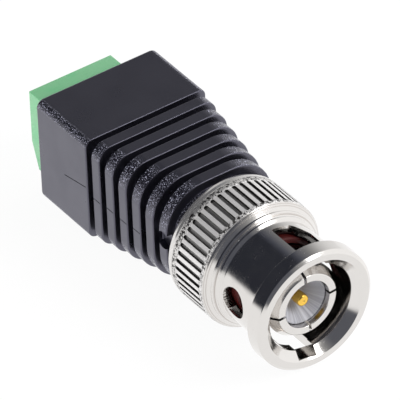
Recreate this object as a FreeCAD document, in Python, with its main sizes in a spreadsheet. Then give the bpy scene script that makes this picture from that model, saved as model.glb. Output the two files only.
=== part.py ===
"""Bayonet plug to two-pole screw terminal adapter, as a parametric document.

The plug's axis is the X axis. The origin is on that axis at the flat front face of the
coupling nut, +X points out of the mouth and +Z points up, so the terminal screws look
down. Lengths are millimetres and angles are degrees. An angle about the axis is counted
from +Y towards +Z.
"""
import FreeCAD, Part
import math
import os
from types import SimpleNamespace

import Sketcher
from FreeCAD import Placement, Rotation, Vector

PARTS_FOLDER = "parts"
# The sketcher's numbers for a line's start and end, a circle's centre and the sketch's origin
START, END, CENTRE = range(1, 4)
ORIGIN = -START

# Driving dimensions: alias, value, what it is
SIZES = [
    # Coupling nut
    ("nut_length", "15.25", "whole length of the coupling nut"),
    ("mouth_face_r", "5.82", "inner edge of the flat front face"),
    ("mouth_bevel_r", "6.53", "outer edge of the flat front face"),
    ("mouth_bevel_width", "0.3", "length of the outer front bevel"),
    ("collar_front_r", "6.89", "front collar just behind its bevel"),
    ("collar_rear_r", "6.95", "front collar at its rear edge"),
    ("collar_width", "1.98", "front collar along the axis"),
    ("waist_r", "5.85", "narrow middle of the nut"),
    ("waist_end", "7.65", "mouth to the end of the waist"),
    ("shoulder_knee_end", "8.6", "mouth to the knee of the shoulder"),
    ("shoulder_knee_r", "6.5", "radius at the knee of the shoulder"),
    ("shoulder_end", "9.15", "mouth to the end of the shoulder"),
    ("grip_r", "7.2", "radius over the knurl"),
    ("grip_rear_r", "6.98", "rear edge of the nut"),
    ("grip_rear_round", "0.45", "length of the rounded rear band"),
    ("groove_front", "9.63", "mouth to the front of the knurl grooves"),
    ("groove_rear", "13.64", "mouth to the rear of the knurl grooves"),
    ("groove_count", "50", "knurl grooves"),
    ("groove_width", "0.34", "knurl groove at the surface"),
    ("groove_depth", "0.34", "knurl groove depth"),
    ("nut_bore_r", "4.95", "bore of the nut"),
    ("chamber_front", "9.3", "mouth to the front of the washer chamber"),
    ("chamber_r", "6.0", "washer chamber radius"),
    ("nut_lip", "1.35", "thickness of the nut's rear lip"),
    ("turning_gap", "0.08", "radial gap between the nut's lip and the sleeve"),
    # Bayonet ramps and openings of the nut
    ("channel_angle", "79.5", "place of the lug entry channel"),
    ("channel_width", "2.2", "lug entry channel"),
    ("channel_r", "5.6", "floor radius of the lug entry channel"),
    ("window_angle", "80", "place of the waist window"),
    ("window_half", "1.37", "half width of the waist window"),
    ("window_step", "0.5", "how much narrower the deep end of the window is"),
    ("window_step_end", "5.9", "mouth to the step of the window"),
    ("window_end", "7.05", "mouth to the deep end of the window"),
    ("lock_angle", "-2", "place of the locking hole"),
    ("lock_hole_r", "1.7", "radius of the locking hole"),
    ("lock_hole_end", "5.9", "mouth to the centre of the locking hole"),
    ("ramp_r", "5.62", "floor radius of the helical lug groove"),
    ("ramp_width", "2.3", "helical lug groove along the axis"),
    ("ramp_start", "4.9", "mouth to the start of the lug groove's middle"),
    # Contacts and insulators of the plug
    ("contact_front", "1.3", "mouth to the front of the outer contact"),
    ("contact_lip_r", "2.65", "bore of the outer contact's lip"),
    ("contact_face_r", "3.45", "outer edge of the outer contact's front face"),
    ("contact_nose", "1.0", "length of the outer contact's nose cone"),
    ("contact_lip", "1.1", "length of the outer contact's lip"),
    ("contact_r", "4.1", "outer radius of the outer contact"),
    ("contact_bore_r", "3.1", "bore behind the outer contact's lip"),
    ("contact_length", "9.7", "whole length of the outer contact"),
    ("contact_slots", "4", "slots in the outer contact"),
    ("slot_angle", "4", "place of the first slot"),
    ("slot_width", "0.3", "slot in the outer contact"),
    ("slot_length", "5.2", "length of a slot"),
    ("pin_front", "2.0", "mouth to the tip of the centre pin"),
    ("pin_r", "0.66", "centre pin"),
    ("pin_tip_round", "0.45", "rounding of the pin's tip"),
    ("pin_stem_r", "1.1", "stem and solder cup of the centre pin"),
    ("cup_reach", "2.0", "solder cup behind the plug body"),
    ("cup_r", "0.65", "bore of the solder cup"),
    ("cup_depth", "2.6", "depth of the solder cup"),
    ("funnel_front", "2.0", "mouth to the front of the front insulator"),
    ("funnel_r", "2.45", "mouth of the insulator's funnel"),
    ("funnel_depth", "1.9", "depth of the insulator's funnel"),
    ("insulator_r", "2.6", "front insulator"),
    ("insulator_collar", "2.5", "length of the front insulator's collar"),
    ("rear_insulator_depth", "1.5", "rear insulator's end inside the plug body"),
    ("seat_gap", "0.04", "gap round pieces pressed into one another"),
    # Sleeve, seal and washers
    ("gasket_front", "6.2", "mouth to the front of the seal ring"),
    ("gasket_r", "4.8", "outer radius of the seal ring"),
    ("gasket_gap", "0.05", "gap between the seal ring and the outer contact"),
    ("sleeve_front", "8.2", "mouth to the front of the plug body"),
    ("sleeve_nose_r", "4.85", "plug body inside the nut's bore"),
    ("sleeve_step_gap", "0.15", "nut's chamber wall to the step of the plug body"),
    ("sleeve_r", "5.2", "plug body under the nut's lip"),
    ("sleeve_root_r", "3.7", "radius of the plug body inside the housing"),
    ("root_length", "6.9", "plug body inside the housing"),
    ("lug_length", "2.6", "solder lug behind the plug body"),
    ("lug_thickness", "0.5", "solder lug"),
    ("lug_width", "1.2", "solder lug"),
    ("washer_thickness", "0.6", "flat thrust washer"),
    ("washer_gap", "0.1", "radial gap of the washers to sleeve and chamber"),
    ("wave_height", "1.0", "height of the wave washer at rest"),
    ("wave_sheet", "0.2", "sheet of the wave washer"),
    ("wave_count", "3", "waves of the wave washer"),
    ("axial_gap", "0.02", "gap between the stacked washers"),
    ("ring_thickness", "0.8", "split retaining ring"),
    ("ring_groove_r", "4.6", "floor of the retaining ring's groove"),
    ("ring_r", "5.85", "outer radius of the retaining ring"),
    ("ring_split", "1.4", "gap of the split retaining ring"),
    # Housing
    ("smooth_length", "8.77", "smooth part of the housing"),
    ("housing_half", "7.4", "half width of the smooth part"),
    ("housing_top", "6.93", "axis to the top of the housing"),
    ("housing_bottom", "5.4", "axis to the underside of the housing"),
    ("housing_edge_r", "0.85", "long edges of the smooth part"),
    ("rib_count", "6", "ribs of the strain relief"),
    ("rib_pitch", "2.085", "rib to rib"),
    ("rib_width", "1.15", "rib along the axis"),
    ("rib_taper", "0.16", "how much narrower each rib is on each side than the one behind it"),
    ("rib_corner_first", "1.6", "corner radius of the rearmost rib"),
    ("rib_corner_step", "0.62", "growth of the corner radius from rib to rib"),
    ("rib_depth", "0.95", "depth of the gaps between the ribs"),
    ("neck_gap", "0.35", "gap between the nut's rear face and the housing's neck"),
    ("neck_length", "0.62", "neck in front of the last rib"),
    ("gate_r", "1.0", "round gate recess on the side"),
    ("gate_setback", "0.6", "front of the last rib to the middle of the gate recess"),
    ("gate_height", "1.5", "axis to the middle of the gate recess"),
    ("gate_depth", "0.7", "depth of the gate recess"),
    ("hollow_half", "4.4", "half width of the wiring space"),
    ("hollow_bottom", "3.5", "axis to the floor of the wiring space"),
    ("roof", "1.3", "roof over the wiring space"),
    ("roof_rear_wall", "0.9", "wall behind the wiring space"),
    # Terminal block
    ("block_reach", "4.9", "block behind the housing"),
    ("block_depth", "8.2", "block along the axis"),
    ("block_half", "5.08", "half width of the block"),
    ("block_top", "4.15", "axis to the top of the block"),
    ("block_bottom", "5.35", "axis to the screw face of the block"),
    ("block_bevel_start", "2.2", "axis to the start of the slanting rear face"),
    ("block_bevel", "1.05", "how far the rear face slants in"),
    ("block_gap", "0.1", "gap between block and housing"),
    ("pole_pitch", "5.08", "pole to pole"),
    ("screw_setback", "3.9", "rear face of the block to the screw axes"),
    ("well_length", "3.6", "cage well along the axis"),
    ("well_width", "4.1", "cage well across"),
    ("well_top", "3.35", "axis to the roof of the cage well"),
    ("ledge_top", "3.4", "axis to the top of the screw ledge"),
    ("ledge_thickness", "0.5", "ledge that holds the screw head"),
    ("entry_width", "3.2", "wire entry across"),
    ("entry_bottom", "0.1", "axis to the lower edge of the wire entry"),
    ("entry_top", "2.9", "axis to the upper edge of the wire entry"),
    ("entry_corner", "0.5", "corner radius of the wire entry"),
    ("recess_r", "1.95", "screw head recess"),
    ("running_gap", "0.05", "gap round the screw's shank and head"),
    # Clamp cages, screws and block contacts
    ("cage_gap", "0.1", "gap between cage and well"),
    ("cage_side", "0.55", "side wall of the cage"),
    ("cage_far_wall", "0.7", "wall of the cage that presses the wire"),
    ("cage_near_wall", "1.0", "tapped wall of the cage"),
    ("cage_height", "4.6", "cage along the screw"),
    ("screw_r", "1.3", "screw shank"),
    ("screw_head_r", "1.8", "screw head"),
    ("screw_head", "1.25", "height of the screw head"),
    ("screw_slot_width", "0.55", "driver slot"),
    ("screw_slot_depth", "0.65", "depth of the driver slot"),
    ("strip_bottom", "0.25", "axis down to the underside of the contact strip"),
    ("strip_thickness", "0.6", "contact strip"),
    ("strip_width", "2.2", "contact strip"),
    ("strip_reach", "1.5", "contact strip behind the screw axis"),
    ("tag_setback", "6.4", "rear face of the block to the middle of the solder pins"),
    ("tag_width", "1.0", "solder pin"),
    ("tag_length", "1.4", "solder pin above the block"),
    # Leads
    ("lead_r", "0.5", "lead inside the housing"),
    ("lead_bend", "2.2", "bend radius of the leads"),
    ("lead_first", "2.0", "straight start of a lead"),
    ("lead_last", "1.6", "straight end of a lead"),
    ("lead_height", "4.85", "axis to the leads at the solder pins"),
    ("solder_gap", "0.03", "gap filled by solder at the ends of the leads"),
]


class Size:
    """A number of the sheet, kept together with the expression that binds to its cell."""

    def __init__(self, value, text):
        self.value = value
        self.text = text

    def joined(self, sign, other, value):
        return Size(value, f"({self.text} {sign} {other.text})")

    def __add__(self, other):
        other = as_size(other)
        return self.joined("+", other, self.value + other.value)

    def __sub__(self, other):
        other = as_size(other)
        return self.joined("-", other, self.value - other.value)

    def __mul__(self, other):
        other = as_size(other)
        return self.joined("*", other, self.value * other.value)

    def __truediv__(self, other):
        other = as_size(other)
        return self.joined("/", other, self.value / other.value)

    def __neg__(self):
        return Size(-self.value, f"(-{self.text})")

    def __radd__(self, other):
        return as_size(other) + self

    def __rsub__(self, other):
        return as_size(other) - self

    def __rmul__(self, other):
        return as_size(other) * self


def as_size(number):
    """The number itself if it is a size, or a plain number as one."""
    if isinstance(number, Size):
        return number
    return Size(float(number), f"({number})")


def smaller(first, second):
    """The smaller of two sizes."""
    return Size(min(first.value, second.value), f"min({first.text}; {second.text})")


doc = FreeCAD.newDocument("terminal_adapter")
sheet = doc.addObject("Spreadsheet::Sheet", "Sizes")
for row, (alias, number, note) in enumerate(SIZES, start=1):
    sheet.set(f"A{row}", alias)
    sheet.set(f"B{row}", number)
    sheet.set(f"C{row}", note)
    sheet.setAlias(f"B{row}", alias)
doc.recompute()
d = SimpleNamespace(**{row[0]: Size(float(sheet.get(row[0])), f"Sizes.{row[0]}") for row in SIZES})


# Tools for bodies, sketches and features

def new_body(label, place=None):
    """A body of its own, moved to a place whose coordinates are sizes."""
    body = doc.addObject("PartDesign::Body", label)
    body.Label = label
    for axis, size in zip("xyz", place or ()):
        body.setExpression(f"Placement.Base.{axis}", as_size(size).text)
    return body


def role(body, name):
    """One of the body's own planes or axes."""
    return next(item for item in body.Origin.OriginFeatures if item.Role == name)


def new_sketch(body, name, plane, offset=0, turn=None):
    """A sketch on a plane of the body, moved along its normal and turned about the X axis."""
    sketch = body.newObject("Sketcher::SketchObject", name)
    sketch.AttachmentSupport = (role(body, plane), [""])
    sketch.MapMode = "FlatFace"
    offset = as_size(offset)
    if turn is None:
        sketch.setExpression("AttachmentOffset.Base.z", offset.text)
        return sketch
    axis = Vector(0, 0, 1) if plane == "YZ_Plane" else Vector(1, 0, 0)
    sketch.AttachmentOffset = Placement(Vector(0, 0, offset.value), Rotation(axis, turn.value))
    sketch.setExpression("AttachmentOffset.Base.z", offset.text)
    sketch.setExpression("AttachmentOffset.Rotation.Angle", turn.text)
    return sketch


def point(pair):
    """A pair of sizes as a vector of the sketch."""
    return Vector(as_size(pair[0]).value, as_size(pair[1]).value, 0)


def constrain(sketch, kind, geometry, size):
    """A dimension that follows its cell."""
    size = as_size(size)
    index = sketch.addConstraint(Sketcher.Constraint(kind, *geometry, size.value))
    sketch.setExpression(f"Constraints[{index}]", size.text)


def hold(sketch, geometry, end, pair):
    """Fixes a point of the sketch by its two coordinates."""
    constrain(sketch, "DistanceX", (ORIGIN, START, geometry, end), pair[0])
    constrain(sketch, "DistanceY", (ORIGIN, START, geometry, end), pair[1])


def draw_polygon(sketch, corners):
    """A closed outline through its corners."""
    following = corners[1:] + corners[:1]
    first = sketch.GeometryCount
    lines = [Part.LineSegment(point(a), point(b)) for a, b in zip(corners, following)]
    sketch.addGeometry(lines, False)
    count = len(corners)
    sketch.addConstraint([
        Sketcher.Constraint("Coincident", first + i, END, first + (i + 1) % count, START)
        for i in range(count)])
    for i, corner in enumerate(corners):
        hold(sketch, first + i, START, corner)


def draw_rectangle(sketch, low, high):
    """A rectangle between two opposite corners."""
    draw_polygon(sketch, [low, (high[0], low[1]), high, (low[0], high[1])])


def draw_circle(sketch, centre, radius):
    """A circle held by its centre and radius."""
    index = sketch.addGeometry(Part.Circle(point(centre), Vector(0, 0, 1), radius.value), False)
    hold(sketch, index, CENTRE, centre)
    constrain(sketch, "Radius", (index,), radius)


def draw_rounded_rectangle(sketch, low, high, radius):
    """A rectangle whose four corners have one radius."""
    left, bottom = point(low).x, point(low).y
    right, top = point(high).x, point(high).y
    r = radius.value
    centres = [(right - r, bottom + r), (right - r, top - r), (left + r, top - r), (left + r, bottom + r)]
    first = sketch.GeometryCount
    sides = [((left + r, bottom), (right - r, bottom)), ((right, bottom + r), (right, top - r)),
             ((right - r, top), (left + r, top)), ((left, top - r), (left, bottom + r))]
    for corner, (side, centre) in enumerate(zip(sides, centres)):
        sketch.addGeometry(Part.LineSegment(point(side[0]), point(side[1])), False)
        start = (corner - 1) * math.pi / 2
        circle = Part.Circle(point(centre), Vector(0, 0, 1), r)
        sketch.addGeometry(Part.ArcOfCircle(circle, start, start + math.pi / 2), False)
    rules = []
    for corner in range(4):
        line = first + 2 * corner
        arc = line + 1
        following = first + (2 * corner + 2) % 8
        rules.append(Sketcher.Constraint("Tangent", line, END, arc, START))
        rules.append(Sketcher.Constraint("Tangent", arc, END, following, START))
        rules.append(Sketcher.Constraint("Horizontal" if corner % 2 == 0 else "Vertical", line))
        if corner:
            rules.append(Sketcher.Constraint("Equal", first + 1, arc))
    sketch.addConstraint(rules)
    constrain(sketch, "Radius", (first + 1,), radius)
    constrain(sketch, "DistanceY", (ORIGIN, START, first, START), low[1])
    constrain(sketch, "DistanceX", (ORIGIN, START, first + 2, START), high[0])
    constrain(sketch, "DistanceY", (ORIGIN, START, first + 4, START), high[1])
    constrain(sketch, "DistanceX", (ORIGIN, START, first + 6, START), low[0])


def revolve(body, name, corners, axis="X_Axis"):
    """A turned solid from its half section in the XZ plane."""
    sketch = new_sketch(body, name + "_section", "XZ_Plane")
    draw_polygon(sketch, corners)
    turned = body.newObject("PartDesign::Revolution", name)
    turned.Profile = sketch
    turned.ReferenceAxis = (role(body, axis), [""])
    turned.Angle = 360
    return turned


def pad(body, name, sketch, length, midplane=False):
    """Material added along the sketch's normal."""
    feature = body.newObject("PartDesign::Pad", name)
    feature.Profile = sketch
    feature.setExpression("Length", as_size(length).text)
    feature.Midplane = midplane
    return feature


def cut(body, name, sketch, length, midplane=False):
    """Material taken away along the sketch's normal."""
    feature = body.newObject("PartDesign::Pocket", name)
    feature.Profile = sketch
    feature.setExpression("Length", as_size(length).text)
    feature.Reversed = not midplane
    feature.Midplane = midplane
    return feature


def repeat_round(body, name, features, count):
    """The features again, spaced evenly about the X axis."""
    pattern = body.newObject("PartDesign::PolarPattern", name)
    pattern.Originals = features
    pattern.Axis = (role(body, "X_Axis"), [""])
    pattern.Angle = 360
    pattern.setExpression("Occurrences", as_size(count).text)
    body.Tip = pattern
    return pattern


def ring_edges(shape, place, radius):
    """Names of the round edges about the X axis at one place and radius."""
    names = []
    for number, edge in enumerate(shape.Edges, start=1):
        curve = edge.Curve
        if not isinstance(curve, Part.Circle):
            continue
        if abs(curve.Radius - radius.value) < 1e-3 and abs(curve.Center.x - place.value) < 1e-3:
            names.append(f"Edge{number}")
    return names


def round_ring(body, name, place, radius, size):
    """Rounds the edges found by ring_edges."""
    doc.recompute()
    feature = body.newObject("PartDesign::Fillet", name)
    tip = feature.BaseFeature
    feature.Base = (tip, ring_edges(tip.Shape, place, radius))
    feature.setExpression("Radius", size.text)
    return feature


# Places along the axis, as distances from the mouth

def lip_front():
    """Front of the nut's rear lip."""
    return d.nut_length - d.nut_lip


def ring_front():
    """Front of the retaining ring, which the washers in front of the lip push against."""
    return lip_front() - d.washer_thickness - d.wave_height - d.ring_thickness - d.axial_gap * 3


def contact_rear():
    """Rear of the outer contact."""
    return d.contact_front + d.contact_length


def neck_front():
    """Front of the housing's neck, where the plug body's sleeve ends."""
    return d.nut_length + d.neck_gap


def ribs_front():
    """Front of the last rib."""
    return neck_front() + d.neck_length


def smooth_front():
    """Front of the smooth part of the housing."""
    return ribs_front() + d.rib_pitch * d.rib_count


def housing_rear():
    """Rear face of the housing."""
    return smooth_front() + d.smooth_length


def sleeve_end():
    """Rear of the plug body inside the housing."""
    return neck_front() + d.root_length


def pin_end():
    """Rear of the centre pin's solder cup."""
    return sleeve_end() + d.cup_reach


def block_rear():
    """Rear face of the terminal block."""
    return housing_rear() + d.block_reach


def block_front():
    """Front face of the terminal block, inside the housing."""
    return block_rear() - d.block_depth


def screw_place():
    """Axes of the terminal screws."""
    return block_rear() - d.screw_setback


def tag_place():
    """Middle of the solder pins."""
    return block_rear() - d.tag_setback


# Coupling nut

def make_coupling_nut():
    """Turned and knurled nut with two bayonet ramps, each with a channel, window and hole."""
    nut = new_body("coupling_nut")
    revolve(nut, "nut_turning", [
        (0, d.mouth_face_r),
        (0, d.mouth_bevel_r),
        (-d.mouth_bevel_width, d.collar_front_r),
        (-d.collar_width, d.collar_rear_r),
        (-d.collar_width, d.waist_r),
        (-d.waist_end, d.waist_r),
        (-d.shoulder_knee_end, d.shoulder_knee_r),
        (-d.shoulder_end, d.grip_r),
        (-(d.nut_length - d.grip_rear_round), d.grip_r),
        (-d.nut_length, d.grip_rear_r),
        (-d.nut_length, d.sleeve_r + d.turning_gap),
        (-lip_front(), d.sleeve_r + d.turning_gap),
        (-lip_front(), d.chamber_r),
        (-d.chamber_front, d.chamber_r),
        (-d.chamber_front, d.nut_bore_r),
        (-(d.mouth_face_r - d.nut_bore_r), d.nut_bore_r),
    ])

    groove = new_sketch(nut, "groove_section", "YZ_Plane", -d.groove_rear)
    draw_polygon(groove, [
        (-d.groove_width, d.grip_r + d.groove_depth),
        (0, d.grip_r - d.groove_depth),
        (d.groove_width, d.grip_r + d.groove_depth),
    ])
    groove_cut = cut(nut, "groove", groove, d.groove_rear - d.groove_front)
    repeat_round(nut, "knurl", [groove_cut], d.groove_count)

    reach = d.grip_r * 1.5
    channel = new_sketch(nut, "channel_section", "YZ_Plane", -d.collar_width,
                         d.channel_angle - 90)
    draw_rectangle(channel, (-d.channel_width / 2, d.contact_r), (d.channel_width / 2, d.channel_r))
    channel_cut = cut(nut, "channel", channel, d.collar_width * 2)

    window = new_sketch(nut, "window_outline", "XY_Plane", 0, d.window_angle - 90)
    draw_polygon(window, [
        (-d.collar_width, -d.window_half),
        (-d.collar_width, d.window_half),
        (-d.window_step_end, d.window_half),
        (-d.window_step_end, d.window_half - d.window_step),
        (-d.window_end, d.window_half - d.window_step),
        (-d.window_end, -d.window_half),
    ])
    window_cut = cut(nut, "window", window, reach)

    lock = new_sketch(nut, "lock_hole_outline", "XY_Plane", 0, d.lock_angle - 90)
    draw_circle(lock, (-d.lock_hole_end, 0), d.lock_hole_r)
    lock_cut = cut(nut, "lock_hole", lock, reach)

    ramp = new_sketch(nut, "ramp_section", "XZ_Plane", 0, d.window_angle - 90)
    draw_rectangle(ramp, (-(d.ramp_start + d.ramp_width / 2), d.contact_r),
                   (-(d.ramp_start - d.ramp_width / 2), d.ramp_r))
    ramp_cut = nut.newObject("PartDesign::SubtractiveHelix", "ramp")
    ramp_cut.Profile = ramp
    ramp_cut.ReferenceAxis = (role(nut, "X_Axis"), [""])
    ramp_cut.Mode = "pitch-turns-angle"
    turns = (d.window_angle - d.lock_angle) / 360
    ramp_cut.setExpression("Turns", turns.text)
    ramp_cut.setExpression("Pitch", ((d.lock_hole_end - d.ramp_start) / turns).text)
    ramp_cut.Reversed = True
    repeat_round(nut, "both_ramps", [channel_cut, window_cut, lock_cut, ramp_cut], 2)


# Pieces turned about the plug's axis

def make_outer_contact():
    """Springy outer contact, slotted from the front."""
    contact = new_body("outer_contact")
    rear = contact_rear()
    lip_end = d.contact_front + d.contact_lip
    revolve(contact, "contact_turning", [
        (-d.contact_front, d.contact_lip_r),
        (-d.contact_front, d.contact_face_r),
        (-(d.contact_front + d.contact_nose), d.contact_r),
        (-rear, d.contact_r),
        (-rear, d.contact_bore_r),
        (-lip_end, d.contact_bore_r),
        (-lip_end, d.contact_lip_r),
    ])
    slot = new_sketch(contact, "slot_section", "YZ_Plane",
                      -(d.contact_front + d.slot_length), d.slot_angle - 90)
    draw_rectangle(slot, (-d.slot_width / 2, d.pin_r), (d.slot_width / 2, d.contact_r * 1.2))
    slot_cut = cut(contact, "slot", slot, d.slot_length * 1.5)
    repeat_round(contact, "slots", [slot_cut], d.contact_slots)


def make_front_insulator():
    """Insulator with a funnel that leads onto the pin."""
    insulator = new_body("front_insulator")
    rear = contact_rear()
    hole = d.pin_r + d.seat_gap
    revolve(insulator, "front_insulator_turning", [
        (-d.funnel_front, d.funnel_r),
        (-d.funnel_front, d.insulator_r),
        (-(rear - d.insulator_collar), d.insulator_r),
        (-(rear - d.insulator_collar), d.contact_bore_r - d.seat_gap),
        (-rear, d.contact_bore_r - d.seat_gap),
        (-rear, hole),
        (-(d.funnel_front + d.funnel_depth), hole),
    ])


def make_rear_insulator():
    """Insulator round the stem of the pin."""
    insulator = new_body("rear_insulator")
    front = contact_rear() + d.seat_gap
    rear = sleeve_end() - d.rear_insulator_depth
    revolve(insulator, "rear_insulator_turning", [
        (-front, d.pin_stem_r + d.seat_gap),
        (-front, d.contact_bore_r - d.seat_gap),
        (-rear, d.contact_bore_r - d.seat_gap),
        (-rear, d.pin_stem_r + d.seat_gap),
    ])


def make_centre_pin():
    """Pin with a thicker stem that ends in a solder cup."""
    pin = new_body("centre_pin")
    stem_front = contact_rear() + d.seat_gap
    cup_floor = pin_end() - d.cup_depth
    revolve(pin, "pin_turning", [
        (-d.pin_front, 0),
        (-d.pin_front, d.pin_r),
        (-stem_front, d.pin_r),
        (-stem_front, d.pin_stem_r),
        (-pin_end(), d.pin_stem_r),
        (-pin_end(), d.cup_r),
        (-cup_floor, d.cup_r),
        (-cup_floor, 0),
    ])
    round_ring(pin, "pin_tip", -d.pin_front, d.pin_r, d.pin_tip_round)


def make_gasket():
    """Seal ring round the foot of the outer contact."""
    gasket = new_body("gasket")
    inner = d.contact_r + d.gasket_gap
    revolve(gasket, "gasket_turning", [
        (-d.gasket_front, inner),
        (-d.gasket_front, d.gasket_r),
        (-d.sleeve_front, d.gasket_r),
        (-d.sleeve_front, inner),
    ])


def make_plug_body():
    """Turned body that carries the contact, the ring and the nut, with a solder lug behind."""
    plug = new_body("plug_body")
    step = d.chamber_front + d.sleeve_step_gap
    groove_front = ring_front() - d.axial_gap
    groove_rear = ring_front() + d.ring_thickness + d.axial_gap
    seat_r = d.contact_r + d.seat_gap
    revolve(plug, "plug_turning", [
        (-d.sleeve_front, seat_r),
        (-d.sleeve_front, d.sleeve_nose_r),
        (-step, d.sleeve_nose_r),
        (-step, d.sleeve_r),
        (-groove_front, d.sleeve_r),
        (-groove_front, d.ring_groove_r),
        (-groove_rear, d.ring_groove_r),
        (-groove_rear, d.sleeve_r),
        (-neck_front(), d.sleeve_r),
        (-neck_front(), d.sleeve_root_r),
        (-sleeve_end(), d.sleeve_root_r),
        (-sleeve_end(), d.contact_bore_r),
        (-contact_rear(), d.contact_bore_r),
        (-contact_rear(), seat_r),
    ])
    lug = new_sketch(plug, "lug_section", "YZ_Plane", -(sleeve_end() + d.lug_length))
    middle = (d.sleeve_root_r + d.contact_bore_r) / 2
    draw_rectangle(lug, (-(middle + d.lug_thickness / 2), -d.lug_width / 2),
                   (-(middle - d.lug_thickness / 2), d.lug_width / 2))
    pad(plug, "solder_lug", lug, d.lug_length + d.seat_gap)


def make_retaining_ring():
    """Split ring that snaps into the plug body's groove."""
    ring = new_body("retaining_ring")
    front = ring_front()
    rear = front + d.ring_thickness
    inner = d.ring_groove_r + d.seat_gap
    revolve(ring, "ring_turning", [(-front, inner), (-front, d.ring_r), (-rear, d.ring_r), (-rear, inner)])
    split = new_sketch(ring, "split_outline", "XY_Plane")
    draw_rectangle(split, (-(rear + d.ring_thickness), -d.ring_split / 2),
                   (-(front - d.ring_thickness), d.ring_split / 2))
    cut(ring, "split", split, d.ring_r * 1.5)


def make_thrust_washer():
    """Flat washer between the nut's lip and the wave washer."""
    washer = new_body("thrust_washer")
    rear = lip_front() - d.axial_gap
    front = rear - d.washer_thickness
    inner = d.sleeve_r + d.washer_gap
    outer = d.chamber_r - d.washer_gap
    revolve(washer, "washer_turning", [(-front, inner), (-front, outer), (-rear, outer), (-rear, inner)])


def make_wave_washer():
    """Wavy spring washer: two closed waves, the surface between them and its thickness."""
    rear = (lip_front() - d.washer_thickness - d.axial_gap * 2).value
    inner = (d.sleeve_r + d.washer_gap).value
    outer = (d.chamber_r - d.washer_gap).value
    sheet_thickness = d.wave_sheet.value
    amplitude = (d.wave_height.value - sheet_thickness) / 2
    waves = round(d.wave_count.value)
    points_per_wave = 4

    def wave(radius):
        points = []
        for index in range(waves * points_per_wave):
            angle = 2 * math.pi * index / (waves * points_per_wave)
            along = -rear + amplitude + amplitude * math.cos(waves * angle)
            points.append(Vector(along, radius * math.cos(angle), radius * math.sin(angle)))
        curve = Part.BSplineCurve()
        curve.interpolate(Points=points, PeriodicFlag=True)
        return curve.toShape()

    surface = Part.makeRuledSurface(wave(inner), wave(outer))
    washer = doc.addObject("Part::Feature", "wave_washer")
    washer.Label = "wave_washer"
    washer.Shape = surface.extrude(Vector(sheet_thickness, 0, 0))


# Housing

def rib_half(number):
    """Half width of a rib, counted from the smooth part, whose own number is 0."""
    return d.housing_half - d.rib_taper * number


def section(body, name, place, half, inset, corner):
    """Rounded cross section of the housing, set in from its outer faces."""
    sketch = new_sketch(body, name, "YZ_Plane", -place)
    side = half - inset
    bottom = inset - d.housing_bottom
    top = d.housing_top - inset
    half_height = (top - bottom) / 2
    limit = smaller(half_height, side) * 0.99
    draw_rounded_rectangle(sketch, (-side, bottom), (side, top), smaller(corner, limit))
    return sketch


def make_housing():
    """Moulded housing: smooth grip and a core with six ribs that ends in a short neck."""
    housing = new_body("housing")
    smooth = section(housing, "smooth_section", housing_rear(), rib_half(0), as_size(0), d.housing_edge_r)
    pad(housing, "smooth_part", smooth, d.smooth_length)

    # Each rib follows a piece of core, and the last one carries the neck
    for number in range(1, round(d.rib_count.value) + 1):
        rib_front = smooth_front() - d.rib_pitch * number
        corner = d.rib_corner_first + d.rib_corner_step * (number - 1)
        gap = section(housing, f"gap_section_{number}", rib_front + d.rib_pitch, rib_half(number),
                      d.rib_depth, corner - d.rib_depth / 2)
        pad(housing, f"gap_{number}", gap, d.rib_pitch - d.rib_width)
        rib = section(housing, f"rib_section_{number}", rib_front + d.rib_width, rib_half(number),
                      as_size(0), corner)
        pad(housing, f"rib_{number}", rib, d.rib_width)
    last_corner = d.rib_corner_first + d.rib_corner_step * (d.rib_count - 1)
    last_half = rib_half(d.rib_count)
    neck = section(housing, "neck_section", ribs_front(), last_half, d.rib_depth, last_corner - d.rib_depth)
    pad(housing, "neck", neck, d.neck_length)

    gate = new_sketch(housing, "gate_outline", "XZ_Plane", last_half - d.gate_depth)
    gate_place = ribs_front() + d.gate_setback
    draw_circle(gate, (-gate_place, d.gate_height), d.gate_r)
    cut(housing, "gate_recess", gate, d.gate_depth * 2)

    plug_bore = new_sketch(housing, "plug_bore_section", "YZ_Plane", -(sleeve_end() + d.block_gap))
    draw_circle(plug_bore, (0, 0), d.sleeve_root_r + d.seat_gap)
    cut(housing, "plug_bore", plug_bore, sleeve_end())
    pocket_front = block_front() - d.block_gap
    hollow = new_sketch(housing, "hollow_section", "YZ_Plane", -block_front())
    draw_rectangle(hollow, (-d.hollow_half, -d.hollow_bottom), (d.hollow_half, d.housing_top - d.roof))
    cut(housing, "wiring_space", hollow, block_front() - sleeve_end())
    tags = new_sketch(housing, "tag_space_section", "YZ_Plane", -(housing_rear() - d.roof_rear_wall))
    draw_rectangle(tags, (-d.hollow_half, 0), (d.hollow_half, d.housing_top - d.roof))
    cut(housing, "tag_space", tags, housing_rear() - d.roof_rear_wall - pocket_front)
    pocket = new_sketch(housing, "block_pocket_section", "YZ_Plane", -(housing_rear() + d.block_gap))
    draw_rectangle(pocket, (-(d.block_half + d.block_gap), -(d.housing_bottom * 1.5)),
                   (d.block_half + d.block_gap, d.block_top + d.block_gap))
    cut(housing, "block_pocket", pocket, housing_rear() + d.block_gap - pocket_front)


# Terminal block and what it holds

def pole_sides():
    """Side name and the middle of each pole across the block."""
    return [("left", d.pole_pitch / 2), ("right", -(d.pole_pitch / 2))]


def strip_top():
    """Height of the contact strip's upper face."""
    return d.strip_thickness - d.strip_bottom


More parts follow.
